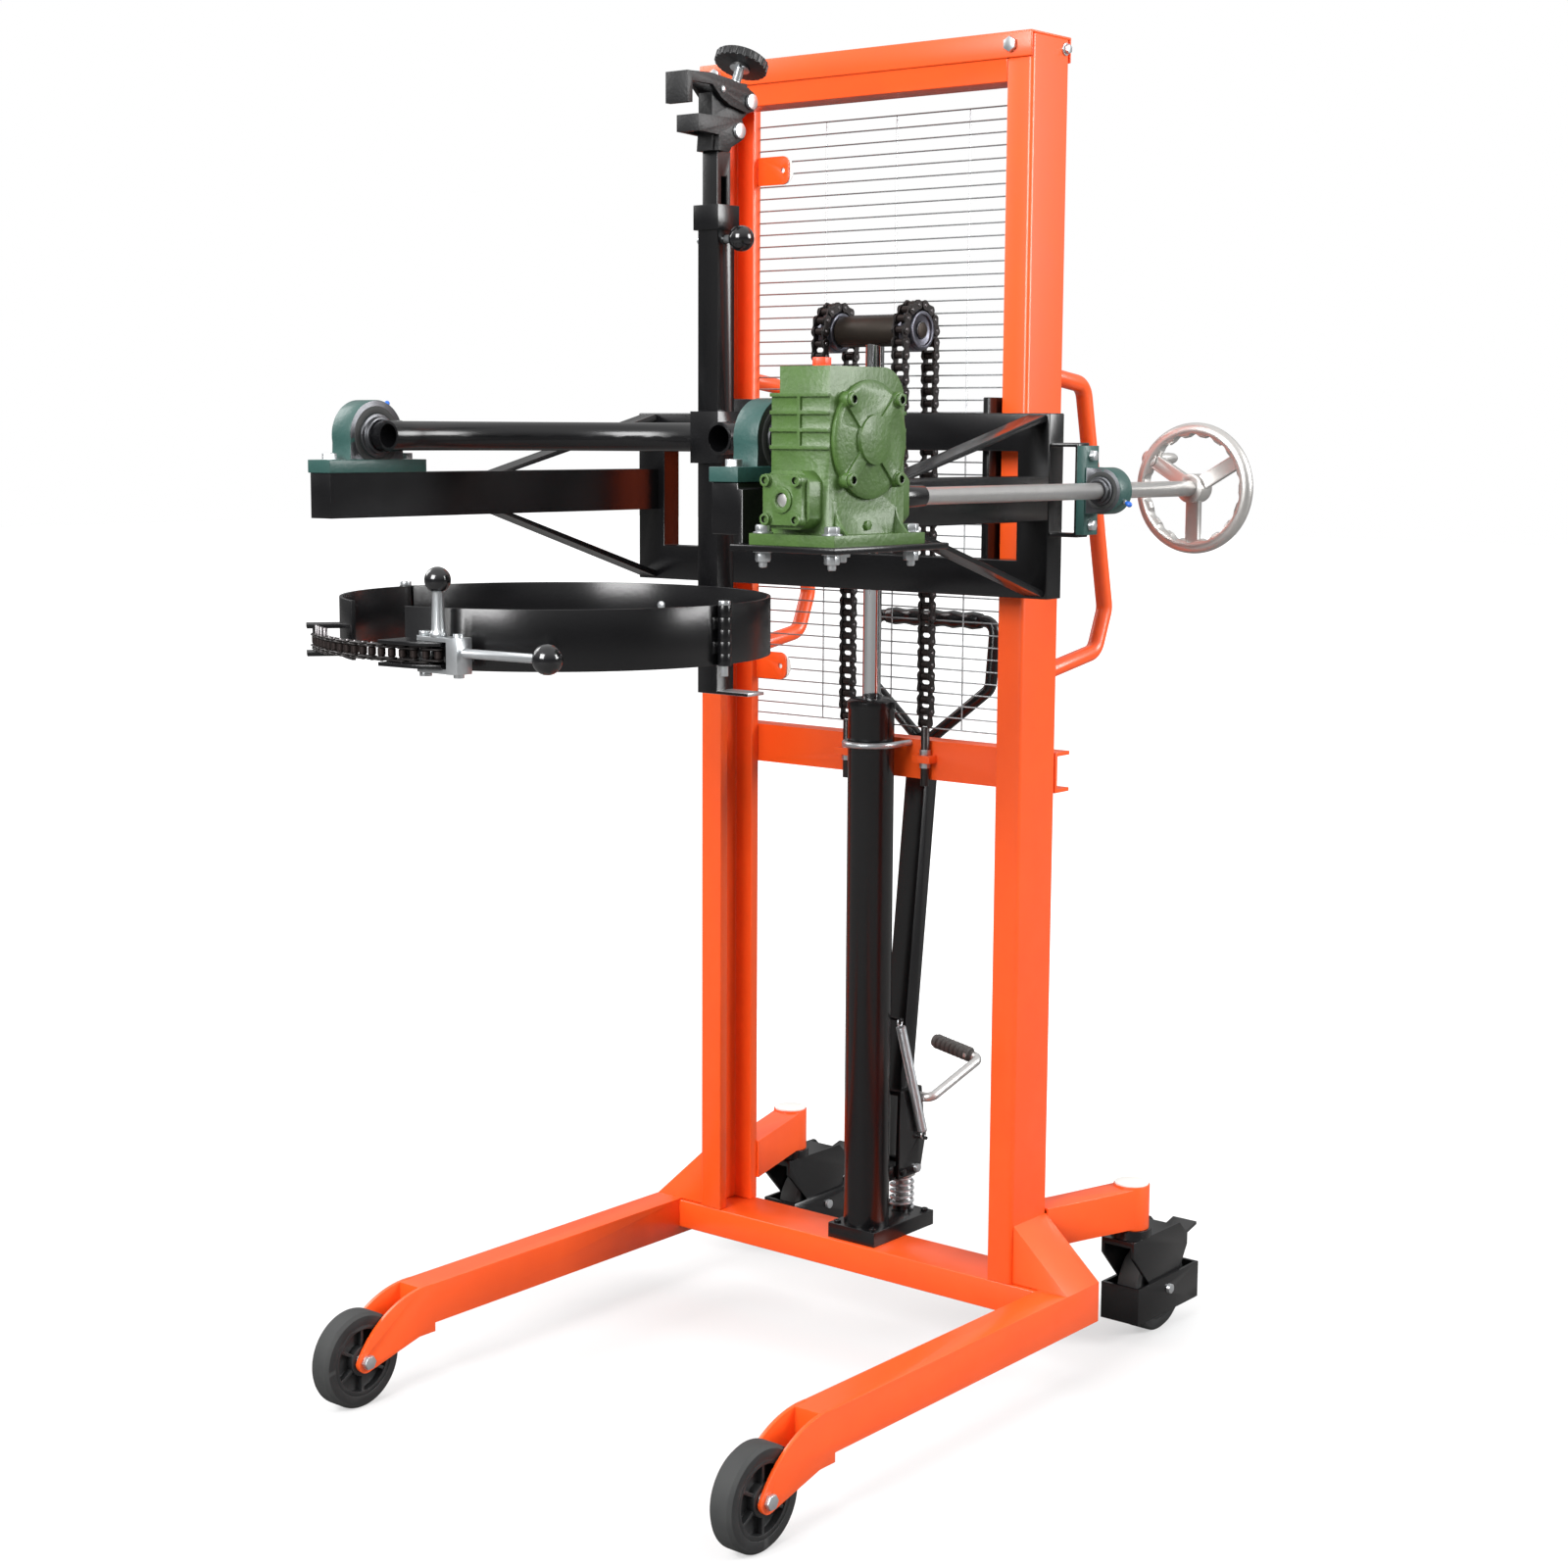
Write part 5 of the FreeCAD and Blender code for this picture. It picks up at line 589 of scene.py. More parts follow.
@dataclass
class Fasteners:
    """Small bought parts, each modelled once and copied to its places."""

    bench: Bench
    head_shares: Pair = (0.82, 0.18)
    chamfer: float = 0.9
    washer_mm: Pair = (1.6, 0.4)
    washer_share: float = 0.64
    washer_chamfer: float = 0.96
    stub_thick: float = 0.27
    stub_shares: Pair = (0.7, 0.3)
    stub_tip: float = 0.8
    socket_wall: float = 0.45
    socket_depth: float = 0.8
    socket_shade: float = 0.6
    dome_foot: float = 0.4
    dome_steps: tuple[Pair, ...] = ((0.35, 0.86), (0.25, 0.6))
    nipple_mm: Pair = (3.6, 4.0)
    nipple_cap_mm: Pair = (3.0, 2.0)
    nipple_steps: tuple[Pair, ...] = ((1.5, 1.35), (3.5, 1.0), (1.8, 0.75), (0.9, 0.6))

    def bolt(self, across_mm: float, high_mm: float, washer: bool = True,
             finish: Finish = Finish.ZINC) -> Piece:
        """Model a hexagon head with its chamfer, on a washer.

        Args:
            across_mm: width over the corners.
            high_mm: height of the head.
            washer: whether it has one.
            finish: its finish.

        Returns:
            The model at the origin.
        """
        bench = self.bench
        below, above = (high_mm * share for share in self.head_shares)
        head = bench.bar(across_mm / 2, below, sides=6)
        bench.grow(head, above, self.chamfer)
        bench.ease(head, 0.5)
        parts = [head]
        if washer:
            below, above = self.washer_mm
            head.data.transform(Matrix.Translation((0, 0, (below + above) * MM)))
            disc = bench.bar(across_mm * self.washer_share, below, sides=28)
            bench.grow(disc, above, self.washer_chamfer)
            bench.ease(disc, 0.2)
            parts.append(disc)
        piece = bench.join(parts)
        bench.paint(piece, finish)
        return piece

    def nut(self, across_mm: float, high_mm: float, stub_mm: float, finish: Finish = Finish.ZINC) -> Piece:
        """Model a nut on a washer with the end of its bolt.

        Args:
            across_mm: width over the corners.
            high_mm: height of the nut.
            stub_mm: how far the bolt's end stands out.
            finish: its finish.

        Returns:
            The model at the origin.
        """
        bench = self.bench
        piece = self.bolt(across_mm, high_mm, True, finish)
        below, above = (stub_mm * share for share in self.stub_shares)
        stub = bench.bar(across_mm * self.stub_thick, high_mm + sum(self.washer_mm) + below, sides=16)
        bench.grow(stub, above, self.stub_tip)
        bench.ease(stub, 0.3)
        bench.paint(stub, finish)
        return bench.join([piece, stub])

    def socket_screw(self, radius_mm: float, high_mm: float, finish: Finish) -> Piece:
        """Model a cap screw with a hexagon socket.

        Args:
            radius_mm: radius of the head.
            high_mm: its height.
            finish: finish of the head; the socket is painted black, as painted shade in its recess.

        Returns:
            The model at the origin.
        """
        bench = self.bench
        piece = bench.bar(radius_mm, high_mm, sides=12)
        bench.sink(piece, radius_mm * self.socket_wall, high_mm * self.socket_depth)
        bench.ease(piece, 0.4)
        # The socket's faces are painted black: painted shade in the recess.
        inner = radius_mm * self.socket_shade * MM
        bench.paint(piece, finish, [(Finish.BLACK, lambda c, n: math.hypot(c.x, c.y) < inner)])
        return piece

    def dome(self, radius_mm: float, high_mm: float, finish: Finish = Finish.ZINC) -> Piece:
        """Model a round rivet head.

        Args:
            radius_mm: radius of its foot.
            high_mm: its height.
            finish: its finish.

        Returns:
            The model at the origin.
        """
        bench = self.bench
        piece = bench.bar(radius_mm, high_mm * self.dome_foot)
        for share, scale in self.dome_steps:
            bench.grow(piece, high_mm * share, scale)
        bench.ease(piece, 0.2)
        bench.paint(piece, finish)
        return piece

    def nipple(self) -> Piece:
        """Model a grease nipple with its plastic cap."""
        bench = self.bench
        foot = bench.bar(*self.nipple_mm, sides=6)
        bench.ease(foot, 0.3)
        bench.paint(foot, Finish.ZINC)
        cap = bench.bar(*self.nipple_cap_mm, sides=16)
        for lift, scale in self.nipple_steps:
            bench.grow(cap, lift, scale)
        bench.ease(cap, 0.2)
        cap.data.transform(Matrix.Translation((0, 0, self.nipple_mm[1] * MM)))
        bench.paint(cap, Finish.BLUE)
        return bench.join([foot, cap])


@dataclass
class RollerChain:
    """Roller chain of one size: outer and inner links.

    Attributes:
        bench: shared moves.
        wide_mm: width over the outer plates.
        tall_mm: height of a plate.
        thick_mm: thickness of a plate.
        roller_mm: radius of a roller.
        waist: height of a plate's waist against its ends.
        sides: sides of a plate's round ends.
        tip: radius of a bar's end against its middle.
        edge_mm: longest chamfer of a bar's end.
        edge_share: that chamfer against a thin bar's radius.
        pin_share: radius of a pin against a roller's.
        pin_out_mm: how far a pin stands out of the plates.
        play_mm: gap between inner and outer links.
    """

    bench: Bench
    wide_mm: float = 26.0
    tall_mm: float = 16.5
    thick_mm: float = 2.6
    roller_mm: float = 6.0
    waist: float = 0.7
    sides: int = 14
    tip: float = 0.84
    edge_mm: float = 0.8
    edge_share: float = 0.25
    pin_share: float = 0.46
    pin_out_mm: float = 1.4
    play_mm: float = 0.2

    def plate(self, pitch_mm: float, level_mm: float) -> Piece:
        """Model a waisted side plate over two pins.

        Args:
            pitch_mm: distance of the pins.
            level_mm: its lower face across the chain.

        Returns:
            The plate, its pins at X zero and at the pitch.
        """
        bench = self.bench
        piece = bench.bar(self.tall_mm / 2, self.thick_mm, self.sides)
        half = pitch_mm * MM / 2
        piece.data.transform(Matrix.Rotation(math.pi / self.sides, 4, "Z"))
        for side in (-1, 1):
            with bench.editing(piece, "VERT", lambda v, s=side: v.co.x * s > 0):
                bpy.ops.transform.translate(value=(side * half, 0, 0))
        with bench.editing(piece):
            bpy.ops.mesh.bisect(plane_co=(0, 0, 0), plane_no=(1, 0, 0))
            bpy.ops.transform.resize(value=(1, self.waist, 1), center_override=(0, 0, 0))
        piece.data.transform(Matrix.Translation((half, 0, level_mm * MM)))
        bench.ease(piece, 0.5, 1)
        bench.paint(piece, Finish.CHAIN)
        return piece

    def cross_bar(self, x_mm: float, radius_mm: float, half_mm: float, finish: Finish) -> Piece:
        """Model a pin or roller across the chain.

        Args:
            x_mm: its place along the link.
            radius_mm: its radius.
            half_mm: half its length.
            finish: its finish.

        Returns:
            The bar.
        """
        bench = self.bench
        edge = min(self.edge_mm, radius_mm * self.edge_share)
        piece = bench.bar(radius_mm * self.tip, edge, sides=12)
        bench.grow(piece, edge, 1 / self.tip)
        bench.grow(piece, 2 * half_mm - 4 * edge)
        bench.grow(piece, edge, self.tip)
        bench.ease(piece, 0)
        piece.data.transform(Matrix.Translation((x_mm * MM, 0, (edge * 0.5 - half_mm) * MM)))
        bench.paint(piece, finish)
        return piece

    def link(self, pitch_mm: float, outer: bool) -> Piece:
        """Model one link along X, its pins along Z.

        Args:
            pitch_mm: distance of its pins.
            outer: whether it is an outer link with pins, or an inner one with rollers.

        Returns:
            The model with its first pin at the origin.
        """
        half = self.wide_mm / 2
        level = half - self.thick_mm if outer else half - 2 * self.thick_mm - self.play_mm
        parts = [self.plate(pitch_mm, level), self.plate(pitch_mm, -level - self.thick_mm)]
        for x in (0, pitch_mm):
            if outer:
                radius, reach = self.roller_mm * self.pin_share, half + self.pin_out_mm
                parts.append(self.cross_bar(x, radius, reach, Finish.PIN))
            else:
                parts.append(self.cross_bar(x, self.roller_mm, level - self.play_mm, Finish.ROLLER))
        return self.bench.join(parts)

    def lay(self, runs: Sequence[Sequence[Vector]], across: Vector, first_outer: bool) -> list[Piece]:
        """Lay links of equal pitch along runs of pins.

        Args:
            runs: pin places of each strand.
            across: direction of the pins.
            first_outer: whether each strand starts with an outer link.

        Returns:
            The links.
        """
        pitch = (runs[0][1] - runs[0][0]).length / MM
        places: dict[bool, list[Matrix]] = {True: [], False: []}
        for pins in runs:
            for index in range(len(pins) - 1):
                along = (pins[index + 1] - pins[index]).normalized()
                upright = across.cross(along)
                turn = Matrix((along, upright, across)).transposed().to_4x4()
                places[(index % 2 == 0) == first_outer].append(Matrix.Translation(pins[index]) @ turn)
        made = []
        for outer, spots in places.items():
            if spots:
                made += self.bench.copies(self.link(pitch, outer), spots)
        return made


@dataclass
class Layout:
    """Main places taken from the CAD frame, in metres.

    Attributes:
        middle: X of the mast's middle plane.
        front: Y of the posts' front face.
    """

    middle: float
    front: float

    @classmethod
    def read(cls) -> "Layout":
        """Take the places from the posts."""
        left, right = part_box("left_post"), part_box("right_post")
        return cls((left[0].x + right[1].x) / 2, right[0].y)

    def at(self, x_mm: float, y_mm: float, z_mm: float) -> Vector:
        """Point from mast measures in millimetres."""
        return Vector((self.middle + x_mm * MM, self.front + y_mm * MM, z_mm * MM))


@dataclass
class Assembly:
    """What each sub-assembly is built with: shared moves, main places and bought parts."""

    bench: Bench
    layout: Layout
    fasteners: Fasteners


@dataclass
class MastAndBase(Assembly):
    """Orange welded frame with its fittings."""

    wire_mm: float = 2.4
    wire_rows: int = 51
    wire_columns: int = 5
    wire_tip: float = 0.3
    wire_nip: float = 0.8
    tab_mm: Triple = (66.0, 46.0, 3.0)
    tab_edge_mm: float = 281.0
    tab_y_mm: float = 97.0
    tab_hole_mm: float = 4.5
    tab_levels_mm: Pair = (1924.0, 1103.0)
    tab_corner: float = 0.3
    tab_hole_share: float = 0.3
    # Painted highlight: a white washer-shaped cup behind each tab
    tab_highlight_mm: Pair = (1.0, 0.6)
    tab_highlight_chamfer: float = 0.97
    tab_highlight_wall: float = 0.36
    tab_highlight_sink_mm: float = 0.8
    tab_highlight_share: float = 0.26
    tab_highlight_back_mm: float = 1.7
    stud_mm: Pair = (80.0, 90.0)
    stud_radius_mm: float = 7.4
    side_bolt_mm: Triple = (325.0, 88.0, 2069.0)
    side_bolt_head_mm: Pair = (15.0, 6.0)
    foot_cup_mm: float = 8.0
    foot_screw_mm: Pair = (6.0, 4.0)
    foot_inset_mm: float = 11.0
    cap_high_mm: float = 400.0

    def build(self) -> None:
        """Dress every still piece of the frame."""
        for node in ("cross_beam", "left_leg", "right_leg", "left_rear_arm", "right_rear_arm", "left_post",
                     "right_post", "top_beam", "mid_beam", "push_handles"):
            self.bench.dress(node, Finish.ORANGE, 1.6)
        self.bench.dress("cylinder_foot", Finish.BLACK, 1.5)
        cap_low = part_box("left_rear_arm")[1].z - MM
        cap_high = self.cap_high_mm * MM
        self.bench.dress("frame_fasteners", Finish.ZINC, 0.8, [
            (Finish.CAP, lambda c, n: cap_low < c.z < cap_high)])
        stud_x, stud_y = self.stud_mm
        spots = [self.layout.at(side * stud_x, stud_y, 0) for side in (-1, 1)]
        thick = self.stud_radius_mm * MM
        self.bench.dress("mid_beam_fittings", Finish.ZINC, 0.6, [
            (Finish.CHAIN, lambda c, n: min(math.hypot(c.x - v.x, c.y - v.y) for v in spots) < thick)])
        self.guard()
        self.tabs()
        self.small_bolts()

    def tabs(self) -> None:
        """Model the two orange guard tabs on the left post, each with a hole and a white washer-shaped cup
        behind it, a painted highlight that shows past the tab's rounded end.
        """
        wide, tall, thick = self.tab_mm
        bench = self.bench
        plate = bench.slab(wide, tall, thick)
        corner = (wide / 2 - thick / 6) * MM

        def at_corner(edge: bpy.types.MeshEdge) -> bool:
            """Tell whether an edge stands at one of the free corners."""
            first, last = (plate.data.vertices[i].co for i in edge.vertices)
            return abs(first.z - last.z) > thick * MM / 2 and first.x > corner

        with bench.editing(plate, "EDGE", at_corner):
            bpy.ops.mesh.bevel(offset=tall * self.tab_corner * MM, segments=6)
        drill = bench.bar(self.tab_hole_mm, thick * 4, sides=16)
        drill.data.transform(Matrix.Translation((wide * self.tab_hole_share * MM, 0, -thick * MM)))
        hole = plate.modifiers.new("hole", "BOOLEAN")
        hole.object = drill
        bench.pick(plate)
        bpy.ops.object.modifier_apply(modifier=hole.name)
        bpy.data.objects.remove(drill, do_unlink=True)
        bench.ease(plate, 0.6)
        bench.paint(plate, Finish.ORANGE)
        # Painted highlight: a white cup behind the tab, its rim showing past the rounded end as glare.
        below, above = self.tab_highlight_mm
        washer = bench.bar(tall / 2, below, sides=28)
        bench.grow(washer, above, self.tab_highlight_chamfer)
        bench.sink(washer, tall * self.tab_highlight_wall, self.tab_highlight_sink_mm)
        bench.ease(washer, 0.2)
        bench.paint(washer, Finish.CAP)
        shift = Vector((wide * self.tab_highlight_share * MM, 0, -self.tab_highlight_back_mm * MM))
        washer.data.transform(Matrix.Translation(shift))
        model = bench.join([plate, washer])
        middle = -self.tab_edge_mm + wide / 2
        places = [bench.stand(self.layout.at(middle, self.tab_y_mm, z), FRONT)
                  for z in self.tab_levels_mm]
        bench.keep(bench.copies(model, places), "guard_tabs", "frame")

    def small_bolts(self) -> None:
        """Set the side bolts of the top beam and the screws of the cylinder foot."""
        at = self.layout.at
        model = self.fasteners.bolt(*self.side_bolt_head_mm)
        x, y, z = self.side_bolt_mm
        places = [self.bench.stand(at(side * x, y, z), Vector((side, 0, 0))) for side in (-1, 1)]
        self.bench.keep(self.bench.copies(model, places), "top_beam_side_bolts", "frame")
        low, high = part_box("cylinder_foot")
        inset = self.foot_inset_mm * MM
        top = high.z - self.foot_cup_mm * MM
        places = [self.bench.stand(Vector((x, y, top)), UP)
                  for x in (low.x + inset, high.x - inset) for y in (low.y + inset, high.y - inset)]
        model = self.fasteners.socket_screw(*self.foot_screw_mm, Finish.BLACK)
        self.bench.keep(self.bench.copies(model, places), "cylinder_foot_screws", "frame")

    def guard(self) -> None:
        """Model the wire guard from round wires."""
        low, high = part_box("wire_guard")
        radius = self.wire_mm * MM / 2
        depth = low.y + radius
        rows, columns = [], []
        for row in range(self.wire_rows):
            z = low.z + radius + (high.z - low.z - 2 * radius) * row / (self.wire_rows - 1)
            rows.append(self.bench.stand(Vector((low.x, depth, z)), RIGHT))
        for column in range(self.wire_columns):
            x = low.x + radius + (high.x - low.x - 2 * radius) * column / (self.wire_columns - 1)
            columns.append(self.bench.stand(Vector((x, depth + 1.6 * radius, low.z)), UP))
        made = self.bench.copies(self.wire((high.x - low.x) / MM), rows)
        made += self.bench.copies(self.wire((high.z - low.z) / MM), columns)
        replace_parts(self.bench.keep(made, "wire_guard_net", "frame"), "wire_guard")

    def wire(self, length_mm: float) -> Piece:
        """Model one wire with nipped ends.

        Args:
            length_mm: its length.

        Returns:
            The wire along Z.
        """
        tip = self.wire_mm * self.wire_tip
        piece = self.bench.bar(self.wire_mm / 2 * self.wire_nip, tip, sides=8)
        self.bench.grow(piece, tip * 0.2, 1 / self.wire_nip)
        self.bench.grow(piece, length_mm - 2.4 * tip)
        self.bench.grow(piece, tip, self.wire_nip)
        self.bench.ease(piece, 0)
        self.bench.paint(piece, Finish.WIRE)
        return piece


@dataclass
class RunningGear(Assembly):
    """Front wheels and braked casters."""

    tyre_mm: float = 19.0
    tyre_gap_mm: float = 0.1
    guard_half_mm: float = 36.2
    washer_mm: Pair = (15.0, 1.8)

    def build(self) -> None:
        """Dress wheels, forks and pedals and add their washers."""
        for side in ("left", "right"):
            for node in (side + "_front_wheel", side + "_caster_wheel"):
                low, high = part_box(node)
                centre = (low + high) / 2
                rim = (high.z - low.z) / 2 - (self.tyre_mm + self.tyre_gap_mm) * MM
                self.bench.dress(node, Finish.RUBBER, 1.6, [
                    (Finish.NYLON, lambda c, n, m=centre, r=rim: math.hypot(c.y - m.y, c.z - m.z) < r)])
                self.washers(node, centre, (high.x - low.x) / 2)
            fork_low, fork_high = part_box(side + "_caster_fork")
            middle = (fork_low.x + fork_high.x) / 2
            self.bench.dress(side + "_caster_fork", Finish.BLACK, 1.2, [
                (Finish.ZINC, lambda c, n, m=middle: abs(c.x - m) > self.guard_half_mm * MM)])
            self.bench.dress(side + "_brake_pedal", Finish.BLACK, 1.0)

    def washers(self, node: str, centre: Vector, half: float) -> None:
        """Set a bright washer on each side of a wheel's hub.

        Args:
            node: wheel's CAD node.
            centre: middle of the wheel.
            half: half its width.
        """
        model = self.fasteners.dome(*self.washer_mm)
        places = [self.bench.stand(centre + Vector((side * half, 0, 0)), Vector((side, 0, 0)))
                  for side in (-1, 1)]
        self.bench.keep(self.bench.copies(model, places), node + "_washers", self.bench.node_body[node])


@dataclass
class Hydraulics(Assembly):
    """Cylinder, piston, pump and their springs."""

    roller_mm: Pair = (150.0, 262.0)
    roller_pin_mm: float = 7.4
    rocker_half_mm: float = 29.3
    rod_mm: float = 15.5
    rod_neck_mm: float = 12.0
    grip_mm: Pair = (24.0, 30.0)
    clip_mm: Triple = (12.6, 1.1, 1.5)
    pull_low_mm: Triple = (39.0, 158.0, 314.0)
    pull_high_mm: Triple = (39.0, 84.0, 532.0)
    pull_turns: int = 58
    pull_radius_mm: float = 7.0
    pull_wire_mm: float = 1.55
    pull_steps: int = 12
    pull_eye: float = 0.86
    pull_eye_share: float = 0.8
    push_turns: float = 5.0
    push_radius_mm: float = 18.5
    push_wire_mm: float = 2.7
    push_steps: int = 24

    def build(self) -> None:
        """Dress the hydraulic pieces and wind the springs between their bodies."""
        bench = self.bench
        bench.dress("lift_cylinder", Finish.BLACK, 1.0)
        low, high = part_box("piston_rod")
        middle = (low + high) / 2
        rod_half = self.rod_mm * MM
        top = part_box("chain_pulleys")[0].z + self.rod_neck_mm * MM
        bench.dress("piston_rod", Finish.CROSSHEAD, 0.8, [
            (Finish.CHROME, lambda c, n: abs(c.x - middle.x) < rod_half and c.z < top)])
        bench.dress("chain_pulleys", Finish.PULLEY, 0.8)
        roller = self.layout.at(0, *self.roller_mm)
        side, reach = self.rocker_half_mm * MM, self.roller_pin_mm * MM

        def on_pin(centre: Vector, _: Vector) -> bool:
            """Tell whether a face is on an end of the rocker's roller pin."""
            away = math.hypot(centre.y - roller.y, centre.z - roller.z)
            return abs(centre.x - roller.x) > side and away < reach

        bench.dress("pump_lever", Finish.BLACK, 1.2, [(Finish.ZINC, on_pin)])
        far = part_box("foot_pedal")[1]
        grip_x, grip_y = (v * MM for v in self.grip_mm)
        bench.dress("foot_pedal", Finish.BAR, 0.5, [
            (Finish.GRIP, lambda c, n: c.y > far.y - grip_y and c.x < far.x - grip_x)])
        bench.dress("pump_plunger", Finish.BAR, 0.6)
        self.push_spring()
        self.pull_spring()
        self.clips()

    def push_spring(self) -> None:
        """Wind the thick spring round the pump plunger."""
        low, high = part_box("plunger_spring")
        wire = self.push_wire_mm
        length = (high.z - low.z) / MM - 2 * wire
        piece = self.bench.coil(self.push_turns, self.push_radius_mm, wire, length, self.push_steps)
        centre = (low + high) / 2
        piece.data.transform(Matrix.Translation((centre.x, centre.y, low.z + wire * MM)))
        self.bench.paint(piece, Finish.ZINC)
        self.bench.keep([piece], "plunger_spring_wire", None)
        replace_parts(piece, "plunger_spring")
        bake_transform(piece)

    def pull_spring(self) -> None:
        """Wind the close return spring and its end loops."""
        bench = self.bench
        low, high = self.layout.at(*self.pull_low_mm), self.layout.at(*self.pull_high_mm)
        axis = (high - low).normalized()
        loop = self.pull_radius_mm
        inset = 2 * loop * MM
        length = (high - low).length / MM - 4 * loop
        coil = bench.coil(self.pull_turns, loop, self.pull_wire_mm, length, self.pull_steps)
        coil.data.transform(bench.stand(low + axis * inset, axis))
        bench.paint(coil, Finish.ZINC)
        eye = bench.ring(loop * self.pull_eye, self.pull_wire_mm)
        bench.paint(eye, Finish.ZINC)
        shift = axis * loop * self.pull_eye_share * MM
        places = [bench.stand(point, RIGHT) for point in (low + shift, high - shift)]
        piece = bench.keep([coil] + bench.copies(eye, places), "return_spring_wire", None)
        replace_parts(piece, "return_spring")
        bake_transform(piece)

    def clips(self) -> None:
        """Set a spring clip round each end of the crosshead pin."""
        radius, wire, inset = self.clip_mm
        low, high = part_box("piston_rod")
        pulley_low, pulley_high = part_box("chain_pulleys")
        centre = (pulley_low + pulley_high) / 2
        places = [self.bench.stand(Vector((x, centre.y, centre.z)), RIGHT)
                  for x in (low.x + inset * MM, high.x - inset * MM)]
        clip = self.bench.ring(radius, wire)
        self.bench.paint(clip, Finish.BEARING)
        self.bench.keep(self.bench.copies(clip, places), "crosshead_clips", "piston")


@dataclass
class LiftChains(Assembly):
    """Roller chains over the piston's pulleys."""

    slack_mm: float = 90.0
    reach_mm: float = 7.14
    half_wide_mm: float = 13.0
    rear_links: int = 33
    front_links: int = 17
    wrap_links: int = 7

    def build(self) -> None:
        """Lay the strands and the wraps over the pulleys."""
        chain = RollerChain(self.bench)
        rear, rear_ends = self.strand("rear_chains", self.rear_links)
        front, front_ends = self.strand("front_chains", self.front_links)
        piece = self.bench.keep(chain.lay(rear, RIGHT, False), "rear_chain_links", None)
        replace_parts(piece, "rear_chains")
        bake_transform(piece)
        piece = self.bench.keep(chain.lay(front, RIGHT, False), "front_chain_links", None)
        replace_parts(piece, "front_chains")
        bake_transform(piece)
        wraps = []
        for rear_pins, front_pins in zip(rear, front):
            start, end = rear_pins[0], front_pins[0]
            centre = (start + end) / 2
            radius = (start - end).length / 2
            pins = []
            for index in range(self.wrap_links + 1):
                turn = math.pi * index / self.wrap_links
                pins.append(centre + Vector((0, radius * math.cos(turn), radius * math.sin(turn))))
            wraps.append(pins)
        piece = self.bench.keep(chain.lay(wraps, RIGHT, True), "wrap_chain_links", "piston")
        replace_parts(piece, "wrap_chains")

    def strand(self, node: str, links: int) -> tuple[list[list[Vector]], tuple[Vector, Vector]]:
        """Find the pins of both strands of a CAD node, from the top down.

        Args:
            node: CAD node of the strands.
            links: number of links in each.

        Returns:
            Pins of the left and right strand, and the middle of the top and bottom.
        """
        low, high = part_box(node)
        y = (low.y + high.y) / 2
        top = high.z - self.reach_mm * MM
        bottom = low.z + self.reach_mm * MM
        runs = []
        for x in (low.x + self.half_wide_mm * MM, high.x - self.half_wide_mm * MM):
            runs.append([Vector((x, y, top + (bottom - top) * i / links)) for i in range(links + 1)])
        middle = (low.x + high.x) / 2
        return runs, (Vector((middle, y, high.z)), Vector((middle, y, low.z)))


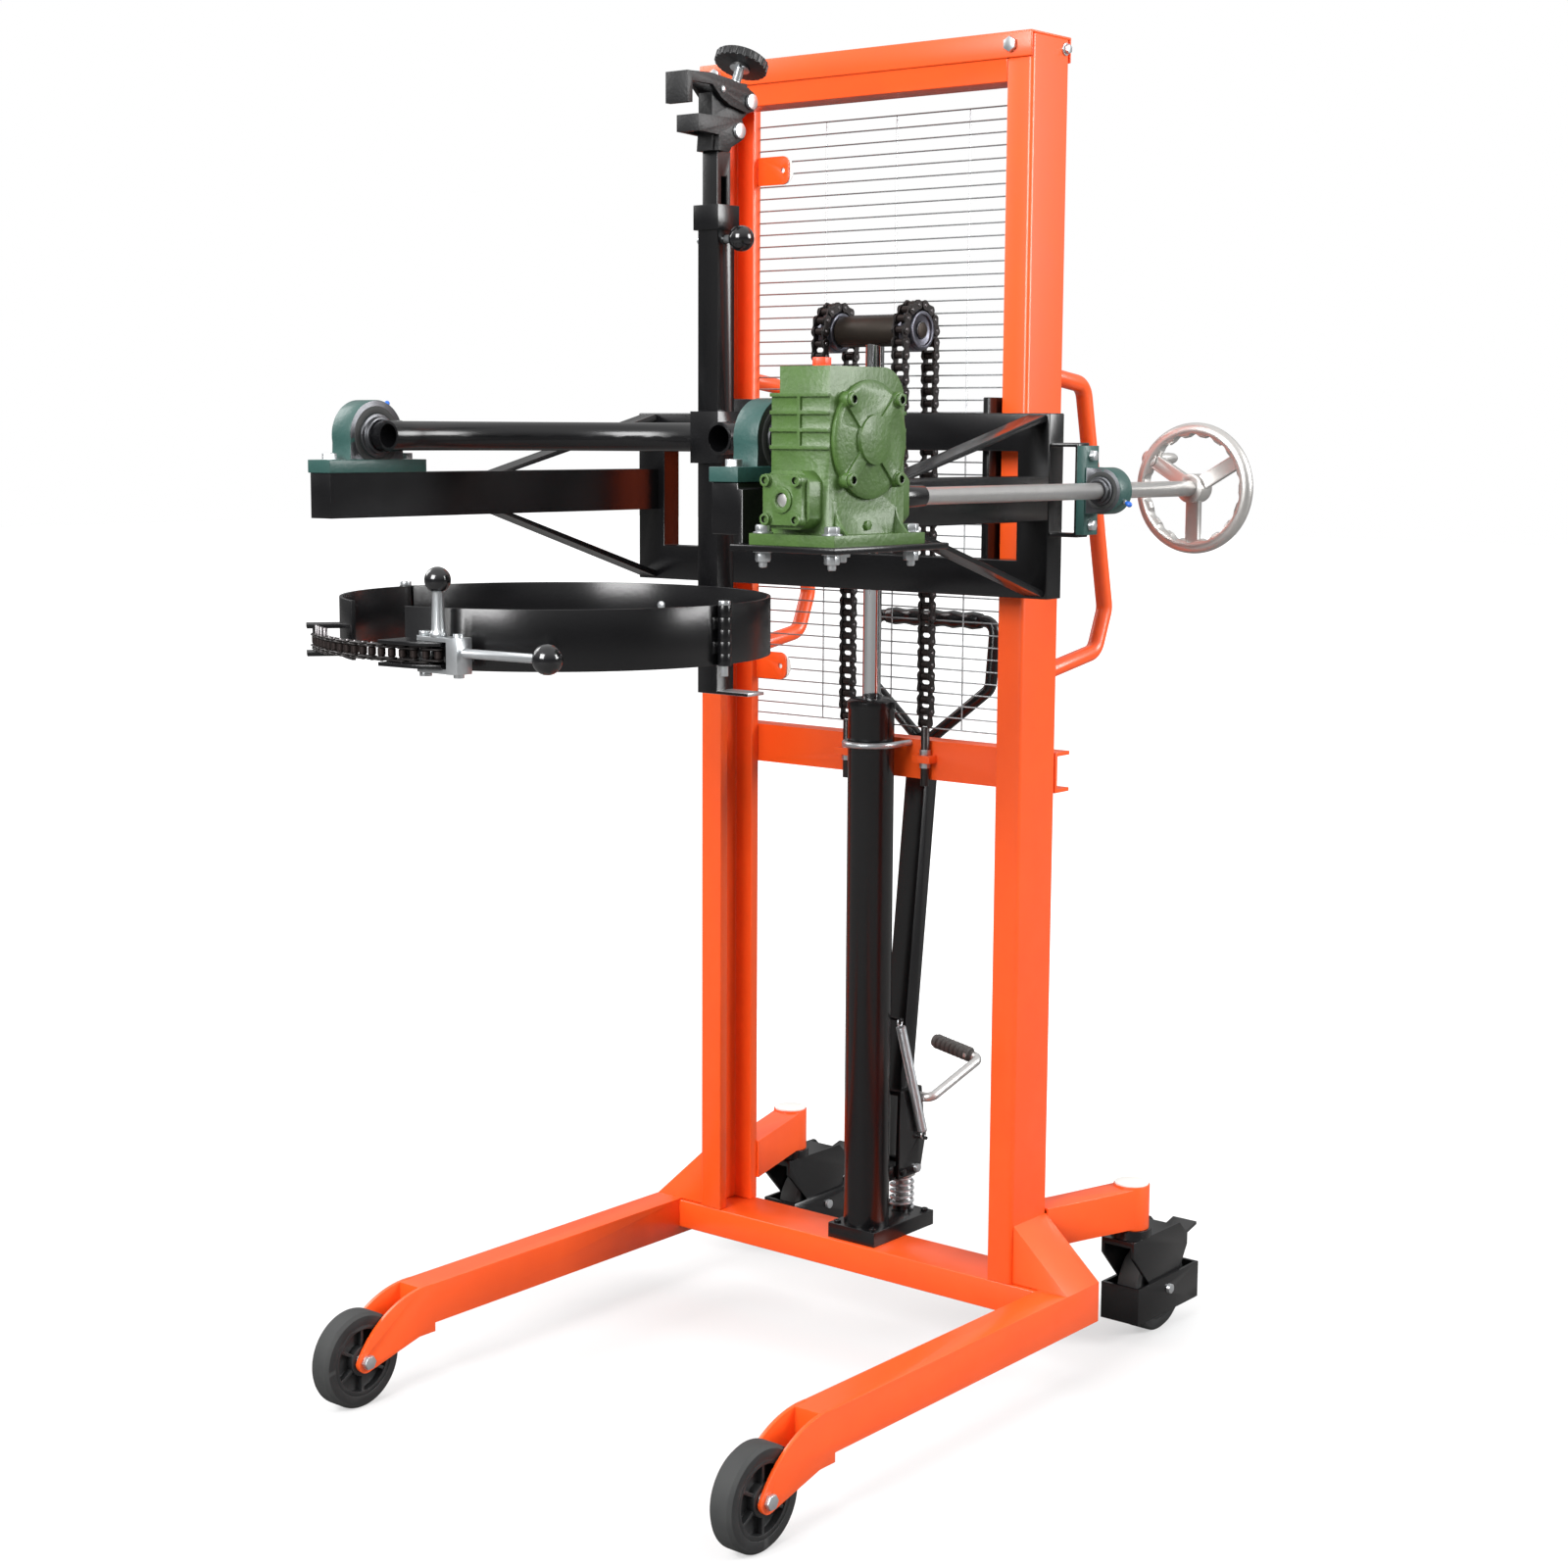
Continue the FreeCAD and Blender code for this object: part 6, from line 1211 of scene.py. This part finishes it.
@dataclass
class CarriageAndDrive(Assembly):
    """Carriage, arms, bearings, gearbox, drive rod and hand wheel."""

    arm_mm: float = 386.0
    tilt_mm: Pair = (-681.0, 1488.0)
    insert_mm: float = 32.4
    block_half_mm: float = 20.2
    block_bolt_mm: float = 62.0
    seal_mm: Pair = (38.0, 5.4)
    seal_flat: float = 0.3
    nipple_mm: float = 51.6
    nipple_lean: Triple = (0.0, 0.64, 0.77)
    foot_top_mm: float = 1453.2
    drive_mm: Pair = (496.0, 1414.0)
    rod_block_y_mm: float = -43.0
    rod_insert_mm: float = 21.3
    rod_block_half_mm: float = 16.0
    rod_foot_mm: float = 14.3
    rod_bolt_mm: float = 40.0
    rod_seal_mm: Pair = (24.5, 3.3)
    rod_nipple_mm: float = 33.6
    rod_nipple_lean: Triple = (0.9, 0.0, -0.44)
    coupling_mm: Pair = (-554.0, -504.0)
    gear_side_mm: float = 555.0
    cover_bolts_mm: float = 49.5
    nose_front_mm: float = -795.0
    nose_bolts_mm: float = 24.0
    cover_screw_mm: Pair = (8.6, 6.5)
    nose_screw_mm: Pair = (7.6, 6.0)
    screw_seat_mm: float = 2.0
    foot_bolt_mm: Pair = (20.0, 9.0)
    foot_nut_mm: Triple = (20.0, 12.0, 7.0)
    foot_bolt_turn: float = 12.0
    flange_mm: Triple = (441.0, 551.0, 82.0)
    flange_top_mm: float = 1371.0
    shelf_low_mm: float = 1349.0

    def build(self) -> None:
        """Dress the carriage and everything it carries, and add its bought parts."""
        bench = self.bench
        for node in ("carriage_frame", "left_arm", "right_arm"):
            bench.dress(node, Finish.BLACK, 1.6)
        for node in ("lower_guide_rollers", "upper_guide_rollers"):
            bench.dress(node, Finish.BEARING, 1.0)
        self.bearings()
        bench.dress("gearbox_housing", Finish.GREEN, 2.0)
        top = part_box("gearbox_housing")[1].z
        bench.dress("gearbox_covers", Finish.GREEN, 1.4, [(Finish.PLUG, lambda c, n: c.z > top - MM)])
        near, far = (self.layout.at(0, y, 0).y for y in self.coupling_mm)
        bench.dress("drive_rod", Finish.BAR, 0.6, [(Finish.BLACK, lambda c, n: near - MM < c.y < far + MM)])
        bench.dress("hand_wheel", Finish.ALUMINIUM, 1.0)
        bench.dress("crank_grip", Finish.ALUMINIUM, 0.8)
        self.gear_bolts()

    def bearings(self) -> None:
        """Dress the bearing blocks, paint their bolts bright and add seals and nipples."""
        bench = self.bench
        at = self.layout.at
        y, z = self.tilt_mm
        shaft = at(0, y, z)
        foot = at(0, 0, self.foot_top_mm).z
        bolt_y = self.block_bolt_mm * MM
        insert = self.insert_mm * MM
        # The bearing inserts take the darker bearing steel: partly painted shade round the seals.
        bench.dress("tilt_bearings", Finish.TEAL, 1.2, [
            (Finish.BEARING, lambda c, n: math.hypot(c.y - shaft.y, c.z - shaft.z) < insert),
            (Finish.ZINC, lambda c, n: abs(c.y - shaft.y) > bolt_y and c.z > foot)])
        drive_x, drive_z = self.drive_mm
        axle = at(drive_x, 0, drive_z)
        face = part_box("rod_bearing")[0].x + self.rod_foot_mm * MM
        bolt_z = self.rod_bolt_mm * MM
        small = self.rod_insert_mm * MM
        # The rod bearing's insert takes the darker bearing steel: partly painted shade round the seal.
        bench.dress("rod_bearing", Finish.TEAL, 1.0, [
            (Finish.BEARING, lambda c, n: math.hypot(c.x - axle.x, c.z - axle.z) < small),
            (Finish.ZINC, lambda c, n: abs(c.z - axle.z) > bolt_z and c.x > face)])
        flat = Matrix.Diagonal((1, 1, self.seal_flat, 1))
        pieces = []
        tilt_spots = [(at(side * self.arm_mm + end * self.block_half_mm, y, z), Vector((end, 0, 0)))
                      for side in (-1, 1) for end in (-1, 1)]
        rod_spots = [(at(drive_x, self.rod_block_y_mm + end * self.rod_block_half_mm, drive_z),
                      Vector((0, end, 0))) for end in (-1, 1)]
        for size, spots in ((self.seal_mm, tilt_spots), (self.rod_seal_mm, rod_spots)):
            seal = bench.ring(*size)
            seal.data.transform(flat)
            bench.paint(seal, Finish.RUBBER)
            pieces += bench.copies(seal, [bench.stand(point, axis) for point, axis in spots])
        bench.keep(pieces, "bearing_seals", "carriage")
        lean = Vector(self.nipple_lean).normalized()
        reach = lean * self.nipple_mm * MM
        places = [bench.stand(at(side * self.arm_mm, y, z) + reach, lean) for side in (-1, 1)]
        lean = Vector(self.rod_nipple_lean).normalized()
        reach = lean * self.rod_nipple_mm * MM
        places.append(bench.stand(at(drive_x, self.rod_block_y_mm, drive_z) + reach, lean))
        bench.keep(bench.copies(self.fasteners.nipple(), places), "grease_nipples", "carriage")

    def gear_bolts(self) -> None:
        """Set the cover screws, foot bolts and nuts of the gearbox."""
        bench = self.bench
        at = self.layout.at
        y, z = self.tilt_mm
        drive_x, drive_z = self.drive_mm
        face = self.gear_side_mm - self.screw_seat_mm
        reach = self.cover_bolts_mm
        places = [bench.stand(at(face, y + dy, z + dz), RIGHT)
                  for dy in (-reach, reach) for dz in (-reach, reach)]
        pieces = bench.copies(self.fasteners.socket_screw(*self.cover_screw_mm, Finish.GREEN), places)
        face = self.nose_front_mm + self.screw_seat_mm
        reach = self.nose_bolts_mm
        places = [bench.stand(at(drive_x + dx, face, drive_z + dz), FRONT)
                  for dx in (-reach, reach) for dz in (-reach, reach)]
        pieces += bench.copies(self.fasteners.socket_screw(*self.nose_screw_mm, Finish.GREEN), places)
        bench.keep(pieces, "gearbox_cover_screws", "carriage")
        left, right, deep = self.flange_mm
        spots = [(x, y + dy) for x in (left, right) for dy in (-deep, deep)]
        places = [bench.stand(at(*spot, self.flange_top_mm), UP, self.foot_bolt_turn)
                  for spot in spots]
        pieces = bench.copies(self.fasteners.bolt(*self.foot_bolt_mm), places)
        places = [bench.stand(at(*spot, self.shelf_low_mm), DOWN) for spot in spots]
        pieces += bench.copies(self.fasteners.nut(*self.foot_nut_mm), places)
        bench.keep(pieces, "gearbox_foot_bolts", "carriage")


@dataclass
class DrumHolder(Assembly):
    """Black yoke, spine, rim clamp and hoop with its ratchet."""

    arc_mm: float = 332.0
    arc_middle_mm: Pair = (-681.0, 1212.0)
    arc_first: float = -72.793
    arc_step: float = 3.1977
    arc_links: int = 17
    long_pins: tuple[int, ...] = (13, 14, 15, 16)
    long_pin_mm: Pair = (3.2, 18.0)
    long_pin_lift_mm: float = 4.0
    knob_seat_mm: Pair = (-300.0, 1998.0)
    knob_lean: float = 24.0
    knob_foot_mm: float = 30.5
    screw_mm: float = 7.5
    thread_mm: Pair = (6.4, 0.8)
    thread_start_mm: float = 8.0
    thread_turns: int = 9
    thread_step_mm: float = 1.1
    thread_rise: float = 1.13
    jaw_half_mm: float = 21.2
    jaw_rivet_mm: Pair = (-350.0, 1989.0)
    jaw_rivet_head_mm: Pair = (5.0, 2.4)
    ball_mm: float = 19.5
    ball_seat_mm: float = 1.0
    pawl_ball_mm: float = 17.0
    pawl_seat_mm: float = 3.0
    spine_half_mm: float = 19.0
    spine_bar_mm: float = 5.4
    index_neck_mm: float = 15.0
    band_inner_mm: float = 293.8
    band_rivet_head_mm: Pair = (6.5, 3.0)
    band_rivet_angles: Pair = (78.0, 102.0)
    band_rivet_rise_mm: float = 26.0

    def build(self) -> None:
        """Dress the holder and add its chain, screws and rivets."""
        bench = self.bench
        middle = self.layout.middle
        for node in ("yoke", "clamp_tube", "rear_band", "left_band_arm", "right_band_arm"):
            bench.dress(node, Finish.BLACK, 1.0)
        bench.dress("upper_jaw", Finish.CAST, 1.0)
        bar_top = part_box("spine")[0].z + self.spine_bar_mm * MM
        bench.dress("spine", Finish.BLACK, 1.0, [(Finish.ZINC, lambda c, n: c.z < bar_top)])
        jaw = self.jaw_half_mm * MM
        bench.dress("lower_jaw", Finish.CAST, 1.0, [(Finish.ZINC, lambda c, n: abs(c.x - middle) > jaw)])
        self.knob()
        bench.dress("hinge_pins", Finish.ZINC, 0.5)
        pin_end = middle + (self.spine_half_mm + self.index_neck_mm) * MM
        bench.dress("index_pin", Finish.BALL, 0.4, [(Finish.ZINC, lambda c, n: c.x < pin_end)])
        bench.dress("ratchet_body", Finish.ZINC, 0.5)
        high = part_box("pawl_lever")[1]
        neck = high.z - (2 * self.pawl_ball_mm - self.pawl_seat_mm) * MM
        bench.dress("pawl_lever", Finish.ZINC, 0.4, [(Finish.BALL, lambda c, n: c.z > neck)])
        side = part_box("ratchet_handle")[1].x - (2 * self.ball_mm - self.ball_seat_mm) * MM
        bench.dress("ratchet_handle", Finish.ZINC, 0.8, [(Finish.BALL, lambda c, n: c.x > side)])
        self.hoop_chain()
        self.rivets()

    def knob(self) -> None:
        """Dress the knurled clamp knob and cut a thread on its screw."""
        bench = self.bench
        lean = math.radians(self.knob_lean)
        up = Vector((0, math.sin(lean), math.cos(lean)))
        seat = self.layout.at(0, *self.knob_seat_mm)
        reach, thick = self.knob_foot_mm * MM, self.screw_mm * MM

        def on_screw(centre: Vector, _: Vector) -> bool:
            """Tell whether a face is on the bright screw."""
            along = (centre - seat).dot(up)
            return along < reach and (centre - seat - up * along).length < thick

        bench.dress("clamp_knob", Finish.NYLON, 0.8, [(Finish.ZINC, on_screw)])
        thread = bench.bar(*self.thread_mm, sides=20)
        for _ in range(self.thread_turns):
            bench.grow(thread, self.thread_step_mm, self.thread_rise)
            bench.grow(thread, self.thread_step_mm, 1 / self.thread_rise)
        bench.ease(thread, 0)
        thread.data.transform(bench.stand(seat + up * self.thread_start_mm * MM, up))
        bench.paint(thread, Finish.ZINC)
        bench.keep([thread], "clamp_screw_thread", "knob")

    def hoop_chain(self) -> None:
        """Lay the tightening chain on its arc, with long hook pins at its free end."""
        y, z = self.arc_middle_mm
        pins = []
        for index in range(self.arc_links + 1):
            turn = math.radians(self.arc_first - index * self.arc_step)
            pins.append(self.layout.at(self.arc_mm * math.cos(turn), y + self.arc_mm * math.sin(turn), z))
        chain = RollerChain(self.bench, wide_mm=22.0, tall_mm=14.5, thick_mm=2.4, roller_mm=5.4)
        pieces = chain.lay([pins], UP, False)
        model = chain.cross_bar(0, *self.long_pin_mm, Finish.PIN)
        lift = Vector((0, 0, self.long_pin_lift_mm * MM))
        places = [Matrix.Translation(pins[i] + lift) for i in self.long_pins]
        pieces += self.bench.copies(model, places)
        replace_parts(self.bench.keep(pieces, "hoop_chain_links", "right_band"), "hoop_chain")

    def rivets(self) -> None:
        """Set the jaw's cross rivet and the bolts that hold the rear band to the spine."""
        bench = self.bench
        at = self.layout.at
        places = [bench.stand(at(side * self.jaw_half_mm, *self.jaw_rivet_mm), Vector((side, 0, 0)))
                  for side in (-1, 1)]
        bench.keep(bench.copies(self.fasteners.dome(*self.jaw_rivet_head_mm), places), "jaw_rivets", "jaw")
        y, z = self.arc_middle_mm
        places = []
        inside = self.band_inner_mm
        for angle in self.band_rivet_angles:
            turn = math.radians(angle)
            out = Vector((math.cos(turn), math.sin(turn), 0))
            spot = at(inside * out.x, y + inside * out.y, z + self.band_rivet_rise_mm)
            places.append(bench.stand(spot, -out))
        model = self.fasteners.dome(*self.band_rivet_head_mm)
        bench.keep(bench.copies(model, places), "band_rivets", "holder")


@dataclass
class Studio:
    """Floor, light and camera at the photo's angle."""

    layout: Layout
    lens_mm: float = 58.07
    yaw: float = 39.047
    pitch: float = 7.977
    roll: float = 0.307
    stand_mm: Triple = (2472.4, -3223.0, 1500.0)
    sensor_mm: float = 36.0
    lamps: tuple[tuple[Triple, float, float], ...] = (
        ((0.2, -5.2, 3.6), 430, 2.8), ((4.8, 2.6, 3.2), 330, 2.6), ((-4.2, -0.6, 3.6), 90, 2.4))
    lamp_aim_m: Triple = (0.0, 0.0, 1.0)
    floor_m: float = 60.0
    fade_m: Pair = (0.7, 2.4)
    glow: Pair = (0.5, 1.0)
    floor_dim: str = "767574"
    floor_lit: str = "A2A2A2"
    floor_rough: float = 0.9
    sky: Pair = (0.08, 1.0)
    sky_top: float = 0.8
    fill: float = 0.7

    def build(self) -> None:
        """Make the stage."""
        self.floor()
        self.light()
        self.camera()

    def floor(self) -> None:
        """Add a wide pale floor that keeps the shadow but shows white."""
        bpy.ops.mesh.primitive_plane_add(size=self.floor_m)
        floor = bpy.context.active_object
        floor.name = "pale floor"
        material = bpy.data.materials.new("pale floor")
        material.use_nodes = True
        tree = material.node_tree
        shader = tree.nodes["Principled BSDF"]
        shader.inputs["Roughness"].default_value = self.floor_rough
        shader.inputs["Emission Color"].default_value = linear("FFFFFF")
        place = add_node(tree, "ShaderNodeTexCoord")
        reach = add_node(tree, "ShaderNodeVectorMath", {"operation": "LENGTH"}, {0: place.outputs["Object"]})
        fade = add_node(tree, "ShaderNodeMapRange", {"From Min": self.fade_m[0], "From Max": self.fade_m[1],
                                                     "To Min": self.glow[0], "To Max": self.glow[1]},
                        {"Value": reach.outputs["Value"]})
        ray = add_node(tree, "ShaderNodeLightPath")
        glow = add_node(tree, "ShaderNodeMath", {"operation": "MULTIPLY"},
                        {0: ray.outputs["Is Camera Ray"], 1: fade.outputs[0]})
        tree.links.new(glow.outputs[0], shader.inputs["Emission Strength"])
        colour = mix_colours(tree, self.floor_dim, self.floor_lit, ray.outputs["Is Camera Ray"])
        tree.links.new(colour, shader.inputs["Base Color"])
        floor.data.materials.append(material)

    def light(self) -> None:
        """Set three lamps and a world that shows white but reflects as a room with a bright ceiling."""
        world = bpy.data.worlds.new("pale studio")
        bpy.context.scene.world = world
        world.use_nodes = True
        tree = world.node_tree
        back = tree.nodes["Background"]
        back.inputs["Color"].default_value = linear("FFFFFF")
        ray = add_node(tree, "ShaderNodeLightPath")
        place = add_node(tree, "ShaderNodeTexCoord")
        axes = add_node(tree, "ShaderNodeSeparateXYZ", None, {0: place.outputs["Generated"]})
        sky = add_node(tree, "ShaderNodeMapRange",
                       {"From Max": self.sky_top, "To Min": self.sky[0], "To Max": self.sky[1]},
                       {"Value": axes.outputs["Z"]})
        room = add_node(tree, "ShaderNodeMix", {VALUE_A: self.fill},
                        {0: ray.outputs["Is Glossy Ray"], VALUE_B: sky.outputs[0]})
        level = add_node(tree, "ShaderNodeMix", {VALUE_B: 1.0},
                         {0: ray.outputs["Is Camera Ray"], VALUE_A: room.outputs[0]})
        tree.links.new(level.outputs[0], back.inputs["Strength"])
        aim = Vector(self.lamp_aim_m)
        for spot, power, size in self.lamps:
            bpy.ops.object.light_add(type="AREA", location=spot)
            lamp = bpy.context.active_object
            lamp.data.energy = power
            lamp.data.size = size
            lamp.rotation_euler = (aim - Vector(spot)).to_track_quat("-Z", "Y").to_euler()

    def camera(self) -> None:
        """Stand the camera where the photo was taken from."""
        yaw, pitch, roll = (math.radians(v) for v in (self.yaw, self.pitch, self.roll))
        ahead = Vector((-math.sin(yaw) * math.cos(pitch), math.cos(yaw) * math.cos(pitch), -math.sin(pitch)))
        right = Vector((math.cos(yaw), math.sin(yaw), 0))
        up = right.cross(ahead)
        tipped_right = right * math.cos(roll) + up * math.sin(roll)
        tipped_up = tipped_right.cross(ahead)
        turn = Matrix((tipped_right, tipped_up, -ahead)).transposed().to_4x4()
        data = bpy.data.cameras.new("photo camera")
        data.lens = self.lens_mm
        data.sensor_width = self.sensor_mm
        data.sensor_fit = "HORIZONTAL"
        camera = bpy.data.objects.new("photo camera", data)
        bpy.context.scene.collection.objects.link(camera)
        camera.matrix_world = Matrix.Translation(self.layout.at(*self.stand_mm)) @ turn
        bpy.context.scene.camera = camera


def main() -> None:
    """Build the machine and the studio."""
    logging.basicConfig(level=logging.INFO, format="%(relativeCreated)d %(name)s: %(message)s")
    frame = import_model()
    bpy.context.scene.view_settings.view_transform = "Standard"
    bench = Bench(frame, Paints())
    layout = Layout.read()
    fasteners = Fasteners(bench)
    Studio(layout).build()
    for assembly in (MastAndBase, RunningGear, Hydraulics, LiftChains, CarriageAndDrive, DrumHolder):
        assembly(bench, layout, fasteners).build()


if __name__ == "__main__":
    main()
